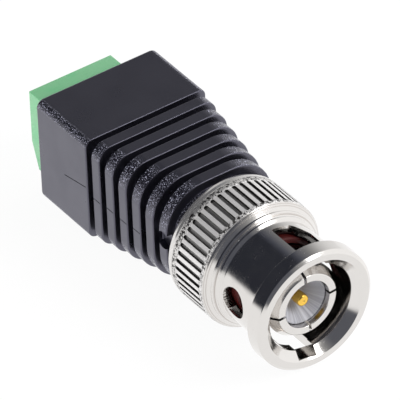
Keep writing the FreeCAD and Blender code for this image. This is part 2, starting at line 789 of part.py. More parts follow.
def make_terminal_block_body():
    """Insulating block with a well, a wire entry and a screw recess for each pole."""
    block = new_body("terminal_block_body")
    outline = new_sketch(block, "block_outline", "XZ_Plane")
    draw_polygon(outline, [
        (-block_rear(), d.block_top),
        (-block_front(), d.block_top),
        (-block_front(), -d.block_bottom),
        (-(block_rear() - d.block_bevel), -d.block_bottom),
        (-block_rear(), -d.block_bevel_start),
    ])
    pad(block, "block_form", outline, d.block_half * 2, midplane=True)

    well_front = screw_place() - d.well_length / 2
    slot_floor = -(d.strip_bottom + d.cage_gap)
    tag_front = tag_place() - d.strip_thickness / 2 - d.cage_gap
    for name, y in pole_sides():
        well = new_sketch(block, f"well_{name}_section", "XY_Plane", -d.ledge_top)
        draw_rectangle(well, (-(well_front + d.well_length), y - d.well_width / 2),
                       (-well_front, y + d.well_width / 2))
        cut(block, f"well_{name}", well, d.ledge_top + d.well_top)

        entry = new_sketch(block, f"entry_{name}_section", "YZ_Plane", -(block_rear() + d.cage_gap))
        draw_rounded_rectangle(entry, (y - d.entry_width / 2, d.entry_bottom),
                               (y + d.entry_width / 2, d.entry_top), d.entry_corner)
        cut(block, f"entry_{name}", entry, block_rear() - screw_place())

        recess = new_sketch(block, f"recess_{name}_outline", "XY_Plane", -(d.block_bottom + d.cage_gap))
        draw_circle(recess, (-screw_place(), y), d.recess_r)
        cut(block, f"recess_{name}", recess,
            d.block_bottom + d.cage_gap - d.ledge_top - d.ledge_thickness)
        shank = new_sketch(block, f"shank_hole_{name}_outline", "XY_Plane", -d.block_bottom)
        draw_circle(shank, (-screw_place(), y), d.screw_r + d.running_gap)
        cut(block, f"shank_hole_{name}", shank, d.block_bottom - d.well_top / 2)

        strip = new_sketch(block, f"strip_slot_{name}_section", "YZ_Plane", -screw_place())
        half = d.strip_width / 2 + d.seat_gap
        draw_rectangle(strip, (y - half, slot_floor), (y + half, strip_top() + d.seat_gap))
        cut(block, f"strip_slot_{name}", strip, screw_place() - tag_front)
        tag = new_sketch(block, f"tag_slot_{name}_outline", "XY_Plane", slot_floor)
        draw_rectangle(tag, (-(tag_place() + d.strip_thickness / 2 + d.seat_gap), y - half),
                       (-tag_front, y + half))
        cut(block, f"tag_slot_{name}", tag, d.block_top * 1.5)


def make_clamp_cages():
    """Rising cages, each lifted against the contact strip by its screw."""
    for name, y in pole_sides():
        cage = new_body(f"clamp_cage_{name}", (-screw_place(), y, 0))
        top = d.well_top - d.cage_gap
        bottom = top - d.cage_height
        half = d.well_width / 2 - d.cage_gap
        inner = half - d.cage_side
        ring = new_sketch(cage, f"cage_{name}_section", "YZ_Plane")
        draw_rectangle(ring, (-half, bottom), (half, top))
        draw_rectangle(ring, (-inner, bottom + d.cage_near_wall), (inner, top - d.cage_far_wall))
        pad(cage, f"cage_{name}_form", ring, d.well_length - d.cage_gap * 2, midplane=True)
        hole = new_sketch(cage, f"cage_{name}_hole", "XY_Plane", bottom - d.cage_gap)
        draw_circle(hole, (0, 0), d.screw_r + d.running_gap)
        cut(cage, f"cage_{name}_tapping", hole, d.cage_near_wall + d.cage_gap * 2)


def make_terminal_screws():
    """Slotted cheese-head screws that look down."""
    head_top = -(d.ledge_top + d.ledge_thickness + d.running_gap)
    head_bottom = head_top - d.screw_head
    tip = -(d.strip_bottom + d.running_gap)
    for name, y in pole_sides():
        screw = new_body(f"terminal_screw_{name}", (-screw_place(), y, 0))
        revolve(screw, f"screw_{name}_turning", [
            (0, tip),
            (d.screw_r, tip),
            (d.screw_r, head_top),
            (d.screw_head_r, head_top),
            (d.screw_head_r, head_bottom),
            (0, head_bottom),
        ], axis="Z_Axis")
        slot = new_sketch(screw, f"screw_{name}_slot_outline", "XY_Plane", head_bottom - d.screw_slot_depth)
        draw_rectangle(slot, (-d.screw_head_r * 1.2, -d.screw_slot_width / 2),
                       (d.screw_head_r * 1.2, d.screw_slot_width / 2))
        cut(screw, f"screw_{name}_slot", slot, d.screw_slot_depth * 2)


def make_block_contacts():
    """Bent contact strips: a tongue through the cage and a solder pin upwards."""
    labels = {"left": "signal_contact", "right": "ground_contact"}
    for name, y in pole_sides():
        contact = new_body(labels[name], (0, y, 0))
        tongue = new_sketch(contact, f"{labels[name]}_tongue", "XZ_Plane")
        pin_front = tag_place() - d.strip_thickness / 2
        draw_rectangle(tongue, (-(screw_place() + d.strip_reach), -d.strip_bottom),
                       (-pin_front, strip_top()))
        pad(contact, f"{labels[name]}_strip", tongue, d.strip_width, midplane=True)
        tag = new_sketch(contact, f"{labels[name]}_tag", "XZ_Plane")
        draw_rectangle(tag, (-(pin_front + d.strip_thickness), -d.strip_bottom),
                       (-pin_front, d.block_top + d.tag_length))
        pad(contact, f"{labels[name]}_pin", tag, d.tag_width, midplane=True)


# Leads

def lead_path(start, end):
    """Straight start, slanting run and straight end, joined by tangent arcs."""
    corner_a = start - Vector(d.lead_first.value, 0, 0)
    corner_b = end + Vector(d.lead_last.value, 0, 0)
    slant = (corner_b - corner_a).normalize()
    ahead = Vector(-1, 0, 0)
    turn = ahead.getAngle(slant)
    radius = d.lead_bend.value
    setback = radius * math.tan(turn / 2)
    inside = (slant - ahead * ahead.dot(slant)).normalize()
    middle_a = corner_a + (inside * math.cos(turn / 2) - ahead * math.sin(turn / 2)) * (
        radius / math.cos(turn / 2) - radius)
    middle_b = corner_b - (inside * math.cos(turn / 2) - ahead * math.sin(turn / 2)) * (
        radius / math.cos(turn / 2) - radius)
    a_in = corner_a - ahead * setback
    a_out = corner_a + slant * setback
    b_in = corner_b - slant * setback
    b_out = corner_b + ahead * setback
    return Part.Wire([
        Part.LineSegment(start, a_in).toShape(),
        Part.Arc(a_in, middle_a, a_out).toShape(),
        Part.LineSegment(a_out, b_in).toShape(),
        Part.Arc(b_in, middle_b, b_out).toShape(),
        Part.LineSegment(b_out, end).toShape(),
    ])


def make_leads():
    """The wire from the pin's cup and the wire from the plug body's lug to the solder pins."""
    tag_face = -(tag_place() - d.strip_thickness / 2 - d.solder_gap).value
    pole = (d.pole_pitch / 2).value
    cup_start = -(pin_end() - d.cup_depth + d.solder_gap).value
    lug_start = -(sleeve_end() + d.lug_length + d.solder_gap).value
    lug_side = -((d.sleeve_root_r + d.contact_bore_r) / 2).value
    routes = {
        "signal_lead": (Vector(cup_start, 0, 0), Vector(tag_face, pole, d.lead_height.value)),
        "ground_lead": (Vector(lug_start, lug_side, 0), Vector(tag_face, -pole, d.lead_height.value)),
    }
    for name, (start, end) in routes.items():
        if name == "signal_lead":
            start_length = d.cup_depth.value
            path = lead_path(start - Vector(start_length, 0, 0), end)
            first = Part.LineSegment(start, start - Vector(start_length, 0, 0)).toShape()
            path = Part.Wire([first] + path.Edges)
        else:
            path = lead_path(start, end)
        section_wire = Part.Wire([Part.Circle(start, Vector(1, 0, 0), d.lead_r.value).toShape()])
        lead = doc.addObject("Part::Feature", name)
        lead.Label = name
        lead.Shape = path.makePipeShell([section_wire], True, False)
        stated = math.pi * d.lead_r.value ** 2 * path.Length
        print(f"{name}: {path.Length:.2f} mm long, bends {d.lead_bend.value:.2f} mm,"
              f" volume {lead.Shape.Volume:.3f} of {stated:.3f} mm3")


MAKERS = (
    make_coupling_nut,
    make_outer_contact,
    make_front_insulator,
    make_rear_insulator,
    make_centre_pin,
    make_gasket,
    make_plug_body,
    make_retaining_ring,
    make_thrust_washer,
    make_wave_washer,
    make_housing,
    make_terminal_block_body,
    make_clamp_cages,
    make_terminal_screws,
    make_block_contacts,
    make_leads,
)
for maker in MAKERS:
    maker()
doc.recompute()

# Nothing is written before every object and every sub-part is sound
failed = [item.Name for item in doc.Objects if {"Invalid", "Error"} & set(item.State)]
if failed:
    raise RuntimeError("these objects did not recompute: " + ", ".join(failed))
pieces = [item for item in doc.Objects if item.TypeId in ("PartDesign::Body", "Part::Feature")]
for piece in pieces:
    if piece.Shape.isNull() or not piece.Shape.isValid() or len(piece.Shape.Solids) != 1:
        raise RuntimeError(f"{piece.Label} is not one sound solid")

os.makedirs(PARTS_FOLDER, exist_ok=True)
for piece in pieces:
    piece.Shape.exportStep(os.path.join(PARTS_FOLDER, piece.Label + ".step"))
print(f"{len(pieces)} sub-parts written")
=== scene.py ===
"""Looks of a bayonet plug to screw terminal adapter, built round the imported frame.

The plug's axis is the X axis, the mouth looks along +X, and the floor lies under the knurl.
Pieces are modelled in millimetres at the frame's own places and handed over in metres.
"""
from __future__ import annotations

import logging
import math
from dataclasses import dataclass
from enum import Enum
from typing import Any, Sequence

import bmesh
import bpy
from mathutils import Matrix, Quaternion, Vector

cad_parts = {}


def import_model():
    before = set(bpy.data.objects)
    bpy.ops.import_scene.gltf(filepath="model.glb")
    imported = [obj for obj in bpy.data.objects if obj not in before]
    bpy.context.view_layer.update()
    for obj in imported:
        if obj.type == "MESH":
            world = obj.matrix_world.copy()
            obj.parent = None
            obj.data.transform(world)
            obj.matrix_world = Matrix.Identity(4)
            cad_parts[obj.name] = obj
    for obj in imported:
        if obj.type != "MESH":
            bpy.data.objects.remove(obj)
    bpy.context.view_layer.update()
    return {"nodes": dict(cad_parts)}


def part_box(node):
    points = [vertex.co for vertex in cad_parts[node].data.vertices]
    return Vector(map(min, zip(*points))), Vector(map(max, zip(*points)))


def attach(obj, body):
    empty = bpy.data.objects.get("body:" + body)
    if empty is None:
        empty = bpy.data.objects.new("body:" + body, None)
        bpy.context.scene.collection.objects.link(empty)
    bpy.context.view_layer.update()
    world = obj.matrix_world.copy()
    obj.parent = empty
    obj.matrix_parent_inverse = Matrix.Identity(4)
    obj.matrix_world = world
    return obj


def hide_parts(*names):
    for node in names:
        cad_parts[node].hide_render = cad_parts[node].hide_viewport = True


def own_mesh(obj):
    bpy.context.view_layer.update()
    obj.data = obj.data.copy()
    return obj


log = logging.getLogger("adapter")

MM = 0.001
SMOOTH_LIMIT = math.radians(28)

Point2 = tuple[float, float]
Corner = tuple[float, float, float]


class Slot(Enum):
    """Material slots of the record that the pieces take their finish from."""

    BLACK_PLASTIC = "black_plastic"
    GREEN_PLASTIC = "green_plastic"
    NICKEL = "nickel_plated_brass"
    GOLD = "gold_plated_brass"
    TIN = "tinned_brass"
    ZINC = "zinc_plated_steel"
    SPRING = "spring_steel"
    INSULATOR = "insulator_plastic"
    RUBBER = "red_rubber"
    RED_PVC = "red_pvc"
    BLACK_PVC = "black_pvc"


class Body(Enum):
    """Bodies of the frame that pieces ride on."""

    ADAPTER = "adapter"
    NUT = "nut"
    SCREW_LEFT = "screw_left"
    SCREW_RIGHT = "screw_right"
    CAGE_LEFT = "cage_left"
    CAGE_RIGHT = "cage_right"


class Around(Enum):
    """Axis that a piece is turned about."""

    X = "x"
    Z = "z"


# Node trees


def add_node(tree: bpy.types.NodeTree, kind: str, links: dict[Any, Any] | None = None,
             **settings: Any) -> bpy.types.Node:
    """Adds a node with its settings and links.

    Args:
        tree: the tree that gets the node.
        kind: the node's type name.
        links: what goes into each input, by name or number: another node's output or a value.
        settings: the node's own properties.

    Returns:
        The new node.
    """
    node = tree.nodes.new(kind)
    for name, value in settings.items():
        setattr(node, name, value)
    for key, value in (links or {}).items():
        if isinstance(value, bpy.types.NodeSocket):
            tree.links.new(value, node.inputs[key])
        else:
            node.inputs[key].default_value = value
    return node


def linear(code: str) -> tuple[float, float, float, float]:
    """Linear colour of an sRGB hex code.

    Args:
        code: six hex digits, such as "d8d4cc".

    Returns:
        Red, green and blue in linear light, and an alpha of 1.
    """
    def channel(start: int) -> float:
        value = int(code[start:start + 2], 16) / 255
        return value / 12.92 if value <= 0.04045 else ((value + 0.055) / 1.055) ** 2.4

    return channel(0), channel(2), channel(4), 1.0


def per_mm(size: float) -> float:
    """Scale of a pattern in metres whose features are this many millimetres across."""
    return 1 / (size * MM)


# Outlines and solids


def rounded_path(corners: Sequence[Corner], closed: bool = True, steps: int = 5,
                 support: float = 0.03) -> list[Point2]:
    """A path whose corners are rounded, with a support point beside each arc.

    Args:
        corners: each corner's two coordinates and its radius, in millimetres.
        closed: whether the last corner joins the first.
        steps: pieces of each arc.
        support: distance of the support points from the arcs, which keeps flats flat.

    Returns:
        The points of the path.
    """
    path: list[Point2] = []
    count = len(corners)
    for index, (a, b, radius) in enumerate(corners):
        here = Vector((a, b))
        inner = closed or 0 < index < count - 1
        before = Vector(corners[index - 1][:2]) - here
        after = Vector(corners[(index + 1) % count][:2]) - here
        turn = before.angle(after, math.pi) if inner else math.pi
        if radius <= 0 or turn > math.pi - 0.02:
            path.append((a, b))
            continue
        reach = min(radius / math.tan(turn / 2), 0.45 * before.length, 0.45 * after.length)
        size = reach * math.tan(turn / 2)
        before.normalize()
        after.normalize()
        centre = here + (before + after).normalized() * (size / math.sin(turn / 2))
        first = here + before * reach - centre
        last = here + after * reach - centre
        sweep = math.pi - turn
        path.append(tuple(centre + first + before * support))
        for step in range(steps + 1):
            share = step / steps
            spread = (first * math.sin((1 - share) * sweep) + last * math.sin(share * sweep)) / math.sin(sweep)
            path.append(tuple(centre + spread))
        path.append(tuple(centre + last + after * support))
    return path


def rounded_section(half_width: float, low: float, high: float, radius: float,
                    steps: int = 10) -> list[Point2]:
    """Rounded rectangle across the axis, always with as many points.

    Args:
        half_width: half of its width along Y.
        low: its lower side.
        high: its upper side.
        radius: radius of its corners.
        steps: pieces of each corner.

    Returns:
        Its points as Y and Z.
    """
    corners = [(half_width, low), (half_width, high), (-half_width, high), (-half_width, low)]
    return rounded_path([(*corner, radius) for corner in corners], steps=steps, support=0.08)


@dataclass
class Solid:
    """A closed mesh in millimetres that is still being worked on."""

    obj: bpy.types.Object

    @classmethod
    def of_faces(cls, vertices: Sequence[Sequence[float]], faces: Sequence[Sequence[int]]) -> Solid:
        """A solid of these vertices and faces, with its faces turned outwards."""
        mesh = bpy.data.meshes.new("blank")
        mesh.from_pydata([tuple(vertex) for vertex in vertices], [], [tuple(face) for face in faces])
        work = bmesh.new()
        work.from_mesh(mesh)
        bmesh.ops.recalc_face_normals(work, faces=work.faces)
        work.to_mesh(mesh)
        work.free()
        obj = bpy.data.objects.new("blank", mesh)
        bpy.context.scene.collection.objects.link(obj)
        return cls(obj)

    @classmethod
    def turned(cls, outline: Sequence[Point2], segments: int, around: Around = Around.X,
               centre: Point2 = (0.0, 0.0)) -> Solid:
        """A solid turned from a closed outline, as on a lathe.

        Args:
            outline: the half section, as places along the axis and radii.
            segments: facets round the axis.
            around: the axis that it is turned about.
            centre: where a Z axis stands, as X and Y.

        Returns:
            The turned solid.
        """
        vertices: list[tuple[float, float, float]] = []
        rings: list[list[int]] = []
        for along, radius in outline:
            start = len(vertices)
            if radius < 1e-6:
                turns = 1
                rings.append([start] * segments)
            else:
                turns = segments
                rings.append(list(range(start, start + segments)))
            for index in range(turns):
                angle = 2 * math.pi * index / segments
                across, up = radius * math.cos(angle), radius * math.sin(angle)
                if around is Around.X:
                    vertices.append((along, across, up))
                else:
                    vertices.append((centre[0] + across, centre[1] + up, along))
        faces = []
        for ring, following in zip(rings, rings[1:] + rings[:1]):
            for index in range(segments):
                after = (index + 1) % segments
                corners = [ring[index], ring[after], following[after], following[index]]
                unique = list(dict.fromkeys(corners))
                if len(unique) > 2:
                    faces.append(unique)
        return cls.of_faces(vertices, faces)

    @classmethod
    def lofted(cls, rings: Sequence[Sequence[Sequence[float]]]) -> Solid:
        """A solid through rings of as many points each, closed by a flat face at both ends."""
        count = len(rings[0])
        vertices = [vertex for ring in rings for vertex in ring]
        faces = [list(range(count)), [len(vertices) - 1 - index for index in range(count)]]
        for level in range(len(rings) - 1):
            for index in range(count):
                after = (index + 1) % count
                low, high = level * count, (level + 1) * count
                faces.append([low + index, low + after, high + after, high + index])
        return cls.of_faces(vertices, faces)

    @classmethod
    def box(cls, low: Sequence[float], high: Sequence[float]) -> Solid:
        """A box between its lowest and highest corner."""
        outline = [(low[1], low[2]), (high[1], low[2]), (high[1], high[2]), (low[1], high[2])]
        return cls.lofted([[(x, *pair) for pair in outline] for x in (low[0], high[0])])

    @classmethod
    def round_bar(cls, start: Vector, end: Vector, radius: float, segments: int = 64) -> Solid:
        """A round bar between two points, which serves as a drill."""
        turn = Vector((0, 0, 1)).rotation_difference(end - start)
        rings = []
        for middle in (start, end):
            ring = []
            for index in range(segments):
                angle = 2 * math.pi * index / segments
                spoke = Vector((radius * math.cos(angle), radius * math.sin(angle), 0))
                ring.append(tuple(middle + turn @ spoke))
            rings.append(ring)
        return cls.lofted(rings)

    def settle(self) -> Solid:
        """Turns the result of the modifiers into the plain mesh, and returns the solid."""
        bpy.context.view_layer.update()
        graph = bpy.context.evaluated_depsgraph_get()
        mesh = bpy.data.meshes.new_from_object(self.obj.evaluated_get(graph), depsgraph=graph)
        self.obj.modifiers.clear()
        old = self.obj.data
        self.obj.data = mesh
        bpy.data.meshes.remove(old)
        return self

    def cut(self, *tools: Solid) -> Solid:
        """Takes the tools away from the solid, deletes them and returns the solid."""
        return self._combine("DIFFERENCE", tools)

    def fuse(self, *others: Solid) -> Solid:
        """Adds the others to the solid, deletes them and returns the solid."""
        return self._combine("UNION", others)

    def _combine(self, operation: str, others: Sequence[Solid]) -> Solid:
        """Combines the solid with others that overlap it."""
        for other in others:
            modifier = self.obj.modifiers.new("combine", "BOOLEAN")
            modifier.operation = operation
            modifier.solver = "MANIFOLD"
            modifier.object = other.obj
        self.settle()
        for other in others:
            other.discard()
        return self

    def bevelled(self, width: float, segments: int = 2) -> Solid:
        """Rounds the sharp edges and returns the solid."""
        modifier = self.obj.modifiers.new("edges", "BEVEL")
        modifier.width = width
        modifier.segments = segments
        modifier.limit_method = "ANGLE"
        modifier.angle_limit = math.radians(40)
        return self.settle()

    def turned_by(self, angle: float) -> Solid:
        """Turns the solid about the plug's axis by degrees and returns it."""
        self.obj.data.transform(Matrix.Rotation(math.radians(angle), 4, "X"))
        return self

    def moved(self, x: float, y: float, z: float) -> Solid:
        """Moves the solid by millimetres and returns it."""
        self.obj.data.transform(Matrix.Translation((x, y, z)))
        return self

    def discard(self) -> None:
        """Deletes a solid that was only a tool."""
        mesh = self.obj.data
        bpy.data.objects.remove(self.obj)
        bpy.data.meshes.remove(mesh)

    def hand_over(self, name: str, body: Body, slot: Slot, finish: bpy.types.Material,
                  *nodes: str) -> bpy.types.Object:
        """Makes the solid a finished piece in metres.

        Args:
            name: the piece's name.
            body: the body that it rides on.
            slot: the record's slot that it would take its finish from; not used.
            finish: its material.
            nodes: the frame's nodes that it stands for.

        Returns:
            The piece.
        """
        mesh = self.obj.data
        mesh.transform(Matrix.Scale(MM, 4))
        mesh.materials.clear()
        mesh.materials.append(finish)
        mesh.polygons.foreach_set("material_index", [0] * len(mesh.polygons))
        mesh.shade_smooth()
        mesh.set_sharp_from_angle(angle=SMOOTH_LIMIT)
        mesh.update()
        self.obj.name = mesh.name = name
        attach(self.obj, body.value)
        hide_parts(*nodes)
        log.info("%s: %d faces on %s", name, len(mesh.polygons), body.value)
        return self.obj


class RingCutter:
    """Geometry Nodes tree that cuts one tool out of a piece again and again about an axis."""

    def __init__(self) -> None:
        """Builds the tree with its named inputs."""
        self.tree = bpy.data.node_groups.new("ring_cutter", "GeometryNodeTree")
        sockets = {"Piece": "Geometry", "Tool": "Object", "Count": "Int", "First Angle": "Float",
                   "Step Angle": "Float", "Axis": "Vector", "Centre": "Vector", "Finish": "Material"}
        for name, kind in sockets.items():
            self.tree.interface.new_socket(name, in_out="INPUT", socket_type=f"NodeSocket{kind}")
        self.tree.interface.new_socket("Piece", in_out="OUTPUT", socket_type="NodeSocketGeometry")
        self._fill()

    def _fill(self) -> None:
        """Adds the nodes: points, turned instances of the tool, and the cut."""
        tree = self.tree
        given = add_node(tree, "NodeGroupInput").outputs
        points = add_node(tree, "GeometryNodePoints", {"Count": given["Count"]})
        index = add_node(tree, "GeometryNodeInputIndex")
        turn = add_node(tree, "ShaderNodeMath", {
            0: index.outputs[0], 1: given["Step Angle"], 2: given["First Angle"]}, operation="MULTIPLY_ADD")
        rotation = add_node(tree, "FunctionNodeAxisAngleToRotation", {
            "Axis": given["Axis"], "Angle": turn.outputs[0]})
        spun = add_node(tree, "FunctionNodeRotateVector", {
            "Vector": given["Centre"], "Rotation": rotation.outputs[0]})
        shift = add_node(tree, "ShaderNodeVectorMath", {
            0: given["Centre"], 1: spun.outputs[0]}, operation="SUBTRACT")
        placed = add_node(tree, "GeometryNodeSetPosition", {
            "Geometry": points.outputs[0], "Offset": shift.outputs[0]})
        tool = add_node(tree, "GeometryNodeObjectInfo", {"Object": given["Tool"]})
        copies = add_node(tree, "GeometryNodeInstanceOnPoints", {
            "Points": placed.outputs[0], "Instance": tool.outputs["Geometry"],
            "Rotation": rotation.outputs[0]})
        loose = add_node(tree, "GeometryNodeRealizeInstances", {0: copies.outputs[0]})
        cut = add_node(tree, "GeometryNodeMeshBoolean", {"Mesh 2": loose.outputs[0]},
                       operation="DIFFERENCE", solver="MANIFOLD")
        tree.links.new(given["Piece"], cut.inputs["Mesh 1"])
        real = add_node(tree, "GeometryNodeRealizeInstances", {0: cut.outputs[0]})
        dressed = add_node(tree, "GeometryNodeSetMaterial", {
            "Geometry": real.outputs[0], "Material": given["Finish"]})
        add_node(tree, "NodeGroupOutput", {0: dressed.outputs[0]})

    def use(self, solid: Solid, tool: Solid, finish: bpy.types.Material, count: int, first: float = 0.0,
            step: float | None = None, axis: Sequence[float] = (1, 0, 0),
            centre: Sequence[float] = (0, 0, 0)) -> Solid:
        """Cuts the tool out of the solid at every step about the axis.

        Args:
            solid: the solid that is cut.
            tool: the tool at the angle of zero, which is deleted afterwards.
            finish: material of the result.
            count: number of cuts.
            first: angle of the first cut, in degrees.
            step: angle from cut to cut, in degrees, or None for a full turn divided evenly.
            axis: direction of the axis.
            centre: a point of the axis.

        Returns:
            The solid that was cut.
        """
        modifier = solid.obj.modifiers.new("ring_cutter", "NODES")
        modifier.node_group = self.tree
        values = {"Tool": tool.obj, "Count": count, "First Angle": math.radians(first),
                  "Step Angle": math.radians(360 / count if step is None else step),
                  "Axis": tuple(axis), "Centre": tuple(centre), "Finish": finish}
        for item in self.tree.interface.items_tree:
            if item.in_out == "INPUT" and item.name in values:
                modifier[item.identifier] = values[item.name]
        solid.settle()
        tool.discard()
        return solid


# Finishes


@dataclass(frozen=True)
class Finish:
    """A finish with its colour and the fineness of its surface, sizes in millimetres."""

    name: str
    colour: str
    roughness: float
    grain: float
    relief: float

    def material(self) -> bpy.types.Material:
        """The finish as a material: its shader is filled in by dress."""
        material = bpy.data.materials.new(self.name)
        material.use_nodes = True
        tree = material.node_tree
        tree.nodes.clear()
        shader = add_node(tree, "ShaderNodeBsdfPrincipled", {
            "Base Color": linear(self.colour), "Roughness": self.roughness})
        place = add_node(tree, "ShaderNodeTexCoord")
        self.dress(tree, shader, place)
        add_node(tree, "ShaderNodeOutputMaterial", {"Surface": shader.outputs[0]})
        return material

    def dress(self, tree: bpy.types.NodeTree, shader: bpy.types.Node, place: bpy.types.Node) -> None:
        """Adds what gives the surface its look: here a fine even grain.

        Args:
            tree: the material's tree.
            shader: its main shader.
            place: its texture coordinates.
        """
        grain = add_node(tree, "ShaderNodeTexNoise", {
            "Vector": place.outputs["Object"], "Scale": per_mm(self.grain), "Detail": 3.0})
        bump = add_node(tree, "ShaderNodeBump", {
            "Height": grain.outputs[0], "Distance": self.relief * MM})
        tree.links.new(bump.outputs[0], shader.inputs["Normal"])


def ramp(tree: bpy.types.NodeTree, value: Any, low: float, high: float,
         start: float = 0.0, end: float = 1.0) -> bpy.types.NodeSocket:
    """A number that goes smoothly from start to end while the value goes from low to high.

    Args:
        tree: the tree that gets the node.
        value: the output that is read.
        low: value at the start.
        high: value at the end.
        start: result below low.
        end: result above high.

    Returns:
        The output with the result.
    """
    node = add_node(tree, "ShaderNodeMapRange", {
        "Value": value, "From Min": low, "From Max": high, "To Min": start, "To Max": end},
        interpolation_type="SMOOTHSTEP")
    return node.outputs[0]


def sums(tree: bpy.types.NodeTree, operation: str, first: Any, second: Any = 0.0) -> bpy.types.NodeSocket:
    """The result of one sum on two numbers or outputs."""
    return add_node(tree, "ShaderNodeMath", {0: first, 1: second}, operation=operation).outputs[0]


def band(tree: bpy.types.NodeTree, value: Any, ends: Point2, edge: float) -> bpy.types.NodeSocket:
    """One between two places in millimetres and nothing outside them.

    Args:
        tree: the tree that gets the nodes.
        value: the place in metres.
        ends: the lower and the higher end.
        edge: how far each end is blurred.

    Returns:
        The output with the share.
    """
    low, high = ends
    return sums(tree, "MULTIPLY", ramp(tree, value, (low - edge) * MM, (low + edge) * MM),
                ramp(tree, value, (high - edge) * MM, (high + edge) * MM, 1.0, 0.0))


def mixed(tree: bpy.types.NodeTree, share: Any, first: Any, second: str) -> bpy.types.NodeSocket:
    """A colour mixed from an output or hex code and a second hex code."""
    start = linear(first) if isinstance(first, str) else first
    return add_node(tree, "ShaderNodeMix", {"Factor": share, 6: start, 7: linear(second)},
                    data_type="RGBA").outputs[2]


@dataclass(frozen=True)
class TurnedPlate(Finish):
    """Bright plating over turned metal: mirror-like, with fine rings left by the lathe tool."""

    ring_pitch: float = 0.16
    stain: str = "7c6a5c"
    stain_ends: Point2 | None = None
    satin: str = "bdbdbc"
    satin_bands: tuple[tuple[Point2, float], ...] = ()
    # Painted shade in hollows: places along the axis, radii and share of a darker colour
    painted_shade: tuple[tuple[Point2, Point2, float], ...] = ()
    rough_bands: tuple[Point2, ...] = ()

    def scratches(self, tree: bpy.types.NodeTree, here: Any, lean: float) -> bpy.types.NodeSocket:
        """Short straight hairlines that lean by an angle in degrees."""
        width, stretch = 0.09, 12.0
        laid = add_node(tree, "ShaderNodeMapping", {
            "Vector": here, "Rotation": (math.radians(lean), math.radians(20), math.radians(lean)),
            "Scale": (1.0, stretch, 1.0)}, vector_type="TEXTURE")
        lines = add_node(tree, "ShaderNodeTexNoise", {
            "Vector": laid.outputs[0], "Scale": per_mm(width), "Detail": 0.0})
        return ramp(tree, lines.outputs[0], 0.8, 0.87)

    def dress(self, tree: bpy.types.NodeTree, shader: bpy.types.Node, place: bpy.types.Node) -> None:
        """Adds lathe rings, hairlines, rough and satin bands, a warm stain, and painted shade in hollows."""
        here = place.outputs["Object"]
        split = add_node(tree, "ShaderNodeSeparateXYZ", {0: here}).outputs
        square = sums(tree, "ADD", sums(tree, "MULTIPLY", split[1], split[1]),
                      sums(tree, "MULTIPLY", split[2], split[2]))
        radius = sums(tree, "SQRT", square)
        shader.inputs["Metallic"].default_value = 1.0

        # The rings depend on the place along the axis and the radius alone
        lathe = add_node(tree, "ShaderNodeCombineXYZ", {0: split[0], 1: radius}).outputs[0]
        rings = add_node(tree, "ShaderNodeTexNoise", {
            "Vector": lathe, "Scale": per_mm(self.ring_pitch), "Detail": 2.0, "Roughness": 0.65})
        grain = add_node(tree, "ShaderNodeTexNoise", {
            "Vector": here, "Scale": per_mm(self.grain), "Detail": 2.0})
        patches = add_node(tree, "ShaderNodeTexNoise", {"Vector": here, "Scale": per_mm(1.1), "Detail": 1.0})
        scratch = sums(tree, "MAXIMUM", self.scratches(tree, here, 35), self.scratches(tree, here, -65))
        scratch = sums(tree, "MULTIPLY", scratch, ramp(tree, patches.outputs[0], 0.5, 0.58))
        height = sums(tree, "MULTIPLY", rings.outputs[0], 0.35)
        height = sums(tree, "SUBTRACT", height, sums(tree, "MULTIPLY", scratch, 0.6))
        height = sums(tree, "ADD", height, sums(tree, "MULTIPLY", grain.outputs[0], 0.08))

        roughness = ramp(tree, patches.outputs[0], 0.35, 0.7, self.roughness, self.roughness + 0.07)
        roughness = sums(tree, "ADD", roughness, sums(tree, "MULTIPLY", scratch, 0.25))
        colour: Any = self.colour
        if self.stain_ends:
            mottled = add_node(tree, "ShaderNodeTexNoise", {"Vector": lathe, "Scale": per_mm(0.35), "Detail": 2.0})
            amount = sums(tree, "MULTIPLY", band(tree, split[0], self.stain_ends, 0.1),
                          ramp(tree, mottled.outputs[0], 0.46, 0.6))
            colour = mixed(tree, sums(tree, "MULTIPLY", amount, 0.45), colour, self.stain)
            roughness = sums(tree, "ADD", roughness, sums(tree, "MULTIPLY", amount, 0.25))
        metallic = None
        for ends, share in self.satin_bands:
            dull = sums(tree, "MULTIPLY", band(tree, split[0], ends, 0.15), share)
            roughness = sums(tree, "ADD", roughness, sums(tree, "MULTIPLY", dull, 0.45))
            metallic = sums(tree, "SUBTRACT", 1.0 if metallic is None else metallic, dull)
            colour = mixed(tree, dull, colour, self.satin)
        if metallic:
            tree.links.new(metallic, shader.inputs["Metallic"])
        # Painted shade: a darker colour on the knurl's groove floors and walls, on the walls of the windows and lug
        # grooves (where it also stands for grease) and on the contact behind the windows
        for ends, radii, share in self.painted_shade:
            spot = sums(tree, "MULTIPLY", band(tree, split[0], ends, 0.02), band(tree, radius, radii, 0.02))
            colour = mixed(tree, sums(tree, "MULTIPLY", spot, share), colour, "262524")
        for ends in self.rough_bands:
            # Torn grit of 0.28 mm, which glitters
            grit = add_node(tree, "ShaderNodeTexNoise", {
                "Vector": here, "Scale": per_mm(0.28), "Detail": 2.0, "Roughness": 0.7})
            torn = band(tree, split[0], ends, 0.12)
            height = sums(tree, "ADD", height, sums(
                tree, "MULTIPLY", sums(tree, "MULTIPLY", grit.outputs[0], torn), 26.0))
            pitted = sums(tree, "MULTIPLY", torn, ramp(tree, grit.outputs[0], 0.52, 0.44))
            colour = mixed(tree, pitted, colour, "3a3836")
        bump = add_node(tree, "ShaderNodeBump", {"Height": height, "Distance": self.relief * MM})
        tree.links.new(bump.outputs[0], shader.inputs["Normal"])
        tree.links.new(roughness, shader.inputs["Roughness"])
        if not isinstance(colour, str):
            tree.links.new(colour, shader.inputs["Base Color"])


